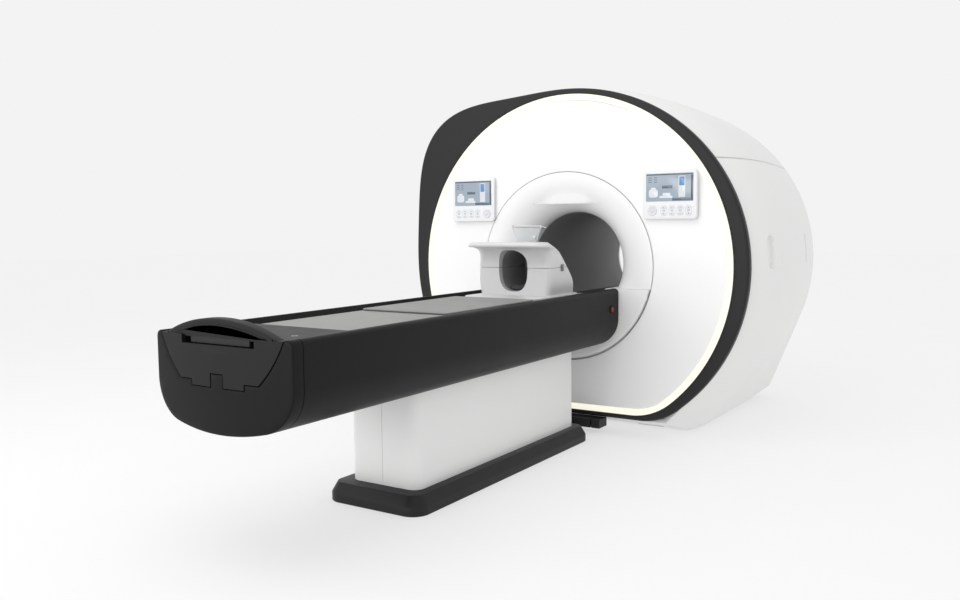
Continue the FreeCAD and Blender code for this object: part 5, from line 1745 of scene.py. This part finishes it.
@dataclass
class HeadCoil:
    """The two-part head coil with its brow, base plate, lining, cushion and mirror."""

    face: float = -0.600
    split: float = 0.020
    opening: tuple[float, float] = (0.088, 0.112)
    opening_z: float = 0.004
    brow_from: float = 0.034
    brow: float = 0.100
    brow_turn: float = 1.32
    visor_front: float = -0.724
    nose: float = 0.012
    foot: float = -0.1359
    top: float = 0.1549
    levels: tuple[float, ...] = (-0.1359, -0.060, 0.020, 0.084, 0.120, 0.134, 0.155)
    sizes: tuple[tuple[float, float, float], ...] = (
        (0.213, -0.345, 0.140),
        (0.225, -0.375, 0.165),
        (0.225, -0.452, 0.188),
        (0.222, -0.520, 0.205),
        (0.226, -0.585, 0.212),
        (0.235, -0.630, 0.204),
        (0.222, -0.655, 0.182),
    )

    def front_line(self) -> Array:
        """The front's profile as level and depth, from the foot to the visor's top.

        It is upright up to the brow, sweeps forward along part of a circle, runs level under the visor and
        ends in the visor's half-round nose.
        """
        turn = np.linspace(0, self.brow_turn, 20)
        brow = np.stack([self.brow_from + self.brow * np.sin(turn), self.face - self.brow * (1 - np.cos(turn))], -1)
        over = np.linspace(-np.pi / 2, np.pi / 2, 11)
        tip = np.stack([self.top - self.nose + self.nose * np.sin(over),
                        self.visor_front + self.nose * (1 - np.cos(over))], -1)
        low = np.linspace(self.foot, self.brow_from, 26)[:-1]
        return np.vstack([np.stack([low, np.full(len(low), self.face)], -1), brow, tip])

    def outline(self, level: Array, front: Array) -> Array:
        """The coil's outline in plan at each level.

        A flat front, round front corners that grow towards the visor, straight sides and half an ellipse
        behind.

        Args:
            level: heights (count,).
            front: depth of the front at each height (count,).

        Returns:
            Points (count, around, 2), anticlockwise.
        """
        half, turn_y, deep = np.moveaxis(spline(self.levels, self.sizes, level), -1, 0)[:, :, None]
        front = front[:, None]
        rise = np.clip((level - self.brow_from) / self.brow, 0, 1)[:, None]
        corner = np.minimum(0.034 + 0.032 * rise, turn_y - front - 0.004)
        bend = np.linspace(0, np.pi / 2, 14)[None]
        right = np.stack([half - corner + corner * np.sin(bend), front + corner - corner * np.cos(bend)], -1)
        flank_y = (front + corner) + (turn_y - front - corner) * np.linspace(0, 1, 14)[None, 1:]
        flank = np.stack([half + 0 * flank_y, flank_y], -1)
        swing = np.linspace(0, np.pi, 90)[None, 1:-1]
        rear = np.stack([half * np.cos(swing), turn_y + deep * np.sin(swing)], -1)
        other = (flank[:, ::-1] * (-1, 1), right[:, ::-1] * (-1, 1))
        return np.concatenate([right, flank, rear, *other], axis=1)

    def block(self) -> Surface:
        """The whole outer form as one closed solid, from its foot to a softened top."""
        level, front = self.front_line().T
        loops = self.outline(level, front)
        rings = list(Lie.PLAN.place(loops, level[:, None] + 0 * loops[..., 0]))
        low = Lie.PLAN.place(inset(loops[0], 0.002), level[0])
        rings[0] = Lie.PLAN.place(loops[0], level[0] + 0.001)
        over = Lie.PLAN.place(inset(loops[-1], 0.010), self.top + 0.0001)
        return capped(np.stack([low, *rings, over]))

    def dimples(self, piece: Piece) -> None:
        """Press two shallow round hollows into the upper corners of the face.

        Depth is 7 mm times a bell curve of the distance from each hollow's middle, 30 mm wide.
        """
        points = np.empty(len(piece.data.vertices) * 3)
        piece.data.vertices.foreach_get("co", points)
        points = points.reshape(-1, 3) - ORIGIN
        front = points[:, 1] < self.face + 0.004
        for x in (-0.135, 0.135):
            far = np.hypot(points[:, 0] - x, points[:, 2] - 0.072)
            points[:, 1] += 0.007 * front * np.exp(-((far / 0.030) ** 2))
        piece.data.vertices.foreach_set("co", (points + ORIGIN).ravel())

    def room_line(self, angle: Array, shrink: float = 0.0) -> Array:
        """The head room's outline: an ellipse with fuller corners, a little wider above than below."""
        cos, sin = np.cos(angle), np.sin(angle)
        fuller = (np.abs(cos) ** 2.7 + np.abs(sin) ** 2.7) ** (-1 / 2.7)
        wide = (self.opening[0] - shrink) * (1 + 0.06 * sin)
        return np.stack([wide * cos * fuller, self.opening_z + (self.opening[1] - shrink) * sin * fuller], -1)

    def half_shell(self, name: str, keep_above: bool, body: Body, node: str) -> Piece:
        """One half of the coil: the block with the head room cut out, cut at the split and closed."""
        piece = make_piece(name, self.block(), body, COIL_WHITE, [node], 32.0)
        room = slab(self.room_line(full_turn(120)), [(0.0, -0.74), (0.0, -0.312)])
        gap = 0.0008 if keep_above else -0.0008
        low, high = (-0.3, self.split + gap) if keep_above else (self.split + gap, 0.3)
        other = slab(rounded_rectangle((-0.4, 0.4), (-0.9, 0.0), 0.01), [(0, low), (0, high)], Lie.PLAN)
        cut_away(piece, [room, other])
        work = bmesh.new()
        work.from_mesh(piece.data)
        bmesh.ops.remove_doubles(work, verts=work.verts, dist=2e-5)
        bmesh.ops.dissolve_limit(work, angle_limit=math.radians(0.3), verts=work.verts, edges=work.edges)
        work.to_mesh(piece.data)
        work.free()
        piece.data.shade_smooth()
        piece.data.set_sharp_from_angle(angle=math.radians(32.0))
        soften(piece, 0.005, 3).harden_normals = True
        return piece

    def lining(self, name: str, start: float, end: float, body: Body, node: str) -> None:
        """Half of the grey lining, whose grey is painted shade inside the head room: an elliptical tube's wall
        between two bearings, closed at the rear.
        """
        angle = np.linspace(start, end, 60)
        outer = self.room_line(angle, 0.0004)
        loop = turned_anticlockwise(np.vstack([outer, self.room_line(angle, 0.0029)[::-1]]))
        tube = slab(loop, [(0.0, self.face + 0.030), (0.0, -0.318)])
        back = slab(turned_anticlockwise(outer), [(0.0, -0.322), (0.0, -0.3125)])
        make_piece(name, tube + back, body, COIL_LINING_PAINTED_SHADE, [node], 35.0)

    def build_tongue(self) -> None:
        """The base plate that the coil sits on, with a blended step up to it."""
        loop = rounded_rectangle((-0.235, 0.235), (-0.790, -0.230), 0.110, 24)
        rings = [(0.0008, -0.1359), (0.0, -0.1351), (0.0, -0.1312)] + soft_rings(-0.1312, -0.1270, 0.004, 6)[6:]
        plate = make_piece("coil_base_plate", slab(loop, rings, Lie.PLAN), Body.CRADLE, COIL_WHITE,
                           ["coil_lower_shell"], 60.0)
        cut_away(plate, [slab(self.room_line(full_turn(96)), [(0.0, -0.80), (0.0, -0.25)])])

    def build_cushion(self) -> None:
        """The head cushion: a smaller block of foam, blown up by cloth simulation inside its room."""
        loop = rounded_rectangle((-0.055, 0.055), (-0.566, -0.334), 0.034, 12)
        rings = soft_rings(-0.1005, -0.0855, 0.005, 5)
        pad = make_piece("head_cushion_pad", slab(loop, rings, Lie.PLAN), Body.CRADLE, CUSHION_GREY,
                         ["head_cushion"], 180.0)
        self.settle(pad)

    def settle(self, pad: Piece) -> None:
        """Swell the cushion by pressure, then keep it inside the rounded floor of its room.

        Each point's move is held to 4 mm, and its level to the room's ellipse.
        """
        remesh = pad.modifiers.new("remesh", "REMESH")
        remesh.mode = "VOXEL"
        remesh.voxel_size = 0.004
        bpy.context.view_layer.update()
        depsgraph = bpy.context.evaluated_depsgraph_get()
        even = bpy.data.meshes.new_from_object(pad.evaluated_get(depsgraph))
        pad.modifiers.clear()
        pad.data = even
        count = len(even.vertices)
        start = np.empty(count * 3)
        even.vertices.foreach_get("co", start)
        moved = start.copy()
        cloth = pad.modifiers.new("cloth", "CLOTH")
        cloth.settings.use_pressure = True
        cloth.settings.uniform_pressure_force = 4.0
        cloth.settings.effector_weights.gravity = 0.0
        for frame in range(1, 16):
            bpy.context.scene.frame_set(frame)
        seen = pad.evaluated_get(bpy.context.evaluated_depsgraph_get())
        seen.data.vertices.foreach_get("co", moved)
        pad.modifiers.clear()
        bpy.context.scene.frame_set(1)
        start = start.reshape(-1, 3)
        step = moved.reshape(-1, 3) - start
        far = np.linalg.norm(step, axis=1, keepdims=True)
        points = start + step * np.minimum(1.0, 0.004 / np.maximum(far, 1e-9)) - ORIGIN
        across = np.clip(np.abs(points[:, 0]) / (self.opening[0] - 0.006), 0, 0.999)
        floor = self.opening_z - (self.opening[1] - 0.006) * np.sqrt(1 - across ** 2)
        sag = 0.0035 * np.exp(-(((points[:, 1] + 0.450) / 0.060) ** 2) - (points[:, 0] / 0.035) ** 2)
        points[:, 2] -= sag * smoothstep((points[:, 2] + 0.100) / 0.012)
        points[:, 2] = np.maximum(points[:, 2], floor)
        points[:, 2] = np.minimum(points[:, 2], -0.0832)
        even.vertices.foreach_set("co", (points + ORIGIN).ravel())
        even.materials.clear()
        even.materials.append(CUSHION_GREY.material())
        even.shade_smooth()
        smooth = pad.modifiers.new("round", "SUBSURF")
        smooth.levels = smooth.render_levels = 1

    def build_mirror(self) -> None:
        """The mirror in its white frame, tilted as its node is, and the white knob."""
        pivot_y, pivot_z, lean = -0.4495, 0.2395, math.radians(-8.0)
        loop = rounded_rectangle((-0.0855, 0.0855), (-0.446, -0.376), 0.010, 8)
        frame = slab(loop, soft_rings(0.2362, 0.2430, 0.0022, 5), Lie.PLAN)
        axle = slab(circle((pivot_y, pivot_z), 0.0038, 24), [(0, -0.0888), (0, 0.0888)], Lie.SIDEWAYS)
        glass = slab(rounded_rectangle((-0.079, 0.079), (-0.4395, -0.3825), 0.006, 6),
                     [(0.0, 0.2358), (0.0, 0.2370)], Lie.PLAN)
        for name, surface, finish, slot in (
            ("mirror_frame", frame + axle, COIL_WHITE, "coil_white"),
            ("mirror_glass", glass, MIRROR_FACE, "mirror_back"),
        ):
            y = surface.points[:, 1] - pivot_y
            z = surface.points[:, 2] - pivot_z
            surface.points = np.stack([surface.points[:, 0], pivot_y + y * math.cos(lean) - z * math.sin(lean),
                                       pivot_z + y * math.sin(lean) + z * math.cos(lean)], -1)
            make_piece(name, surface, Body.MIRROR, finish, ["mirror"])
        knob = circle((0.052, 0.182), 0.0089, 64)
        rings = soft_rings(-0.4638, -0.4536, 0.002, 5)
        shaft = slab(circle((0.052, 0.182), 0.003, 24), [(0, -0.4538), (0, -0.4523)])
        mark = slab(rounded_rectangle((0.0513, 0.0527), (0.185, 0.1905), 0.0006, 4), [(0, -0.46395), (0, -0.4630)])
        make_piece("mirror_knob_cap", slab(knob, rings) + shaft + mark, Body.KNOB, COIL_WHITE,
                   ["mirror_knob"])

    def build(self) -> None:
        """Build the coil's shells, lining, base, cushion and mirror."""
        upper = self.half_shell("coil_upper_block", True, Body.COIL_TOP, "coil_upper_shell")
        self.dimples(upper)
        self.half_shell("coil_lower_block", False, Body.CRADLE, "coil_lower_shell")
        split = math.asin((self.split - self.opening_z + 0.001) / self.opening[1])
        self.lining("coil_lining_upper", split, np.pi - split, Body.COIL_TOP, "coil_upper_shell")
        self.lining("coil_lining_lower", np.pi - split + 0.02, 2 * np.pi + split - 0.02, Body.CRADLE,
                    "coil_lower_shell")
        self.build_tongue()
        self.build_cushion()
        self.build_mirror()


# ---- studio


@dataclass
class Studio:
    """The pale floor, the soft lights and the camera."""

    floor_colour: str = "#a8a8a8"
    floor_glow: float = 0.545
    world_colour: str = "#f3f3f3"
    world_strength: float = 1.0
    camera_at: tuple[float, float, float] = (2.4613, -4.1961, 1.2266)
    lens: float = 33.57
    yaw: float = 33.075
    pitch: float = 4.934
    roll: float = -0.596

    def build_floor(self) -> None:
        """A wide matt floor that is part of the set."""
        size = np.linspace(-30, 30, 13)
        x, y = np.meshgrid(size, size)
        surface = grid(np.stack([x, y, 0 * x], -1))
        mesh = bpy.data.meshes.new("studio_floor")
        mesh.from_pydata((surface.points - (0, 0, 0.0005)).tolist(), [], surface.quads.tolist())
        paper = bpy.data.materials.new("studio_paper")
        paper.use_nodes = True
        tree = paper.node_tree
        tree.nodes.clear()
        place = add_node(tree, "ShaderNodeTexCoord").outputs["Object"]
        fibre = add_node(tree, "ShaderNodeTexNoise", {"Vector": place, "Scale": 2.0}).outputs["Fac"]
        tone = add_node(tree, "ShaderNodeMix", {"Factor": fibre, 6: linear(self.floor_colour), 7: linear("#a5a5a5")},
                        data_type="RGBA").outputs[2]
        shader = add_node(tree, "ShaderNodeBsdfPrincipled", {
            "Base Color": tone, "Roughness": 0.9, "Specular IOR Level": 0.0,
            "Emission Color": linear("#ffffff"), "Emission Strength": self.floor_glow,
        })
        add_node(tree, "ShaderNodeOutputMaterial", {"Surface": shader.outputs["BSDF"]})
        mesh.materials.append(paper)
        linked("studio_floor", mesh)

    def add_light(self, name: str, at: tuple, aim: tuple, size: tuple, power: float) -> None:
        """A rectangular soft light that faces a point."""
        lamp = bpy.data.lights.new(name, "AREA")
        lamp.shape = "RECTANGLE"
        lamp.size, lamp.size_y = size
        lamp.energy = power
        light = linked(name, lamp)
        light.location = at
        light.rotation_euler = (Vector(aim) - Vector(at)).to_track_quat("-Z", "Y").to_euler()

    def build_lights(self) -> None:
        """An even white room with a large soft light above and two weaker ones from in front."""
        world = bpy.data.worlds.new("studio_room")
        world.use_nodes = True
        tree = world.node_tree
        tree.nodes.clear()
        glow = add_node(tree, "ShaderNodeBackground", {"Color": linear(self.world_colour),
                                                       "Strength": self.world_strength})
        add_node(tree, "ShaderNodeOutputWorld", {"Surface": glow.outputs["Background"]})
        bpy.context.scene.world = world
        self.add_light("soft_overhead", (-0.5, -2.2, 4.6), (0.0, 0.0, 0.8), (4.5, 3.5), 60.0)
        self.add_light("soft_low", (-1.2, -8.0, 1.3), (0.2, 0.0, 0.3), (4.0, 2.0), 85.0)
        self.add_light("soft_front", (-2.6, -5.0, 2.6), (0.0, 0.4, 1.0), (2.5, 2.5), 25.0)

    def build_camera(self) -> None:
        """The camera, from its yaw, pitch and roll: it looks along d, with r to the right and u up."""
        yaw, pitch, roll = (math.radians(value) for value in (self.yaw, self.pitch, self.roll))
        d = Vector((-math.sin(yaw) * math.cos(pitch), math.cos(yaw) * math.cos(pitch), -math.sin(pitch)))
        r = Vector((math.cos(yaw), math.sin(yaw), 0))
        u = r.cross(d)
        right = math.cos(roll) * r + math.sin(roll) * u
        up = -math.sin(roll) * r + math.cos(roll) * u
        lens = bpy.data.cameras.new("camera")
        lens.lens = self.lens
        lens.sensor_width = 36.0
        lens.clip_end = 200.0
        camera = linked("camera", lens)
        turn = Matrix((right, up, -d)).transposed().to_4x4()
        camera.matrix_world = Matrix.Translation(self.camera_at) @ turn
        bpy.context.scene.camera = camera

    def build(self) -> None:
        """Build the set, its lights and the camera."""
        self.build_floor()
        self.build_lights()
        self.build_camera()
        bpy.context.scene.view_settings.view_transform = "Standard"


def dress_kept_nodes(frame: dict) -> None:
    """Give every frame node that keeps its own mesh its finish."""
    for finish, names in KEPT_NODES.items():
        for name in names:
            node = frame["nodes"][name]
            for place in node.material_slots:
                place.material = finish.material()
            if not node.material_slots:
                node.data.materials.append(finish.material())
            LOG.info("%s: kept, in %s", name, finish.name)


def corners(bounds: tuple) -> list[list[float]]:
    """A box's two corners as plain lists."""
    return [list(corner) for corner in bounds]


def main() -> None:
    """Build the looks round the frame, sub-assembly by sub-assembly."""
    logging.basicConfig(level=logging.INFO, format="%(message)s")
    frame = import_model()
    Studio().build()
    dress_kept_nodes(frame)
    GantryCovers().build()
    BoreMouth().build()
    OperatorPanel(Side.LEFT, -627.0).build()
    OperatorPanel(Side.RIGHT, 654.0).build()
    table = PatientTable()
    table.build()
    Cradle(table).build()
    HeadCoil().build()
    Pedestal().build()


if __name__ == "__main__":
    main()
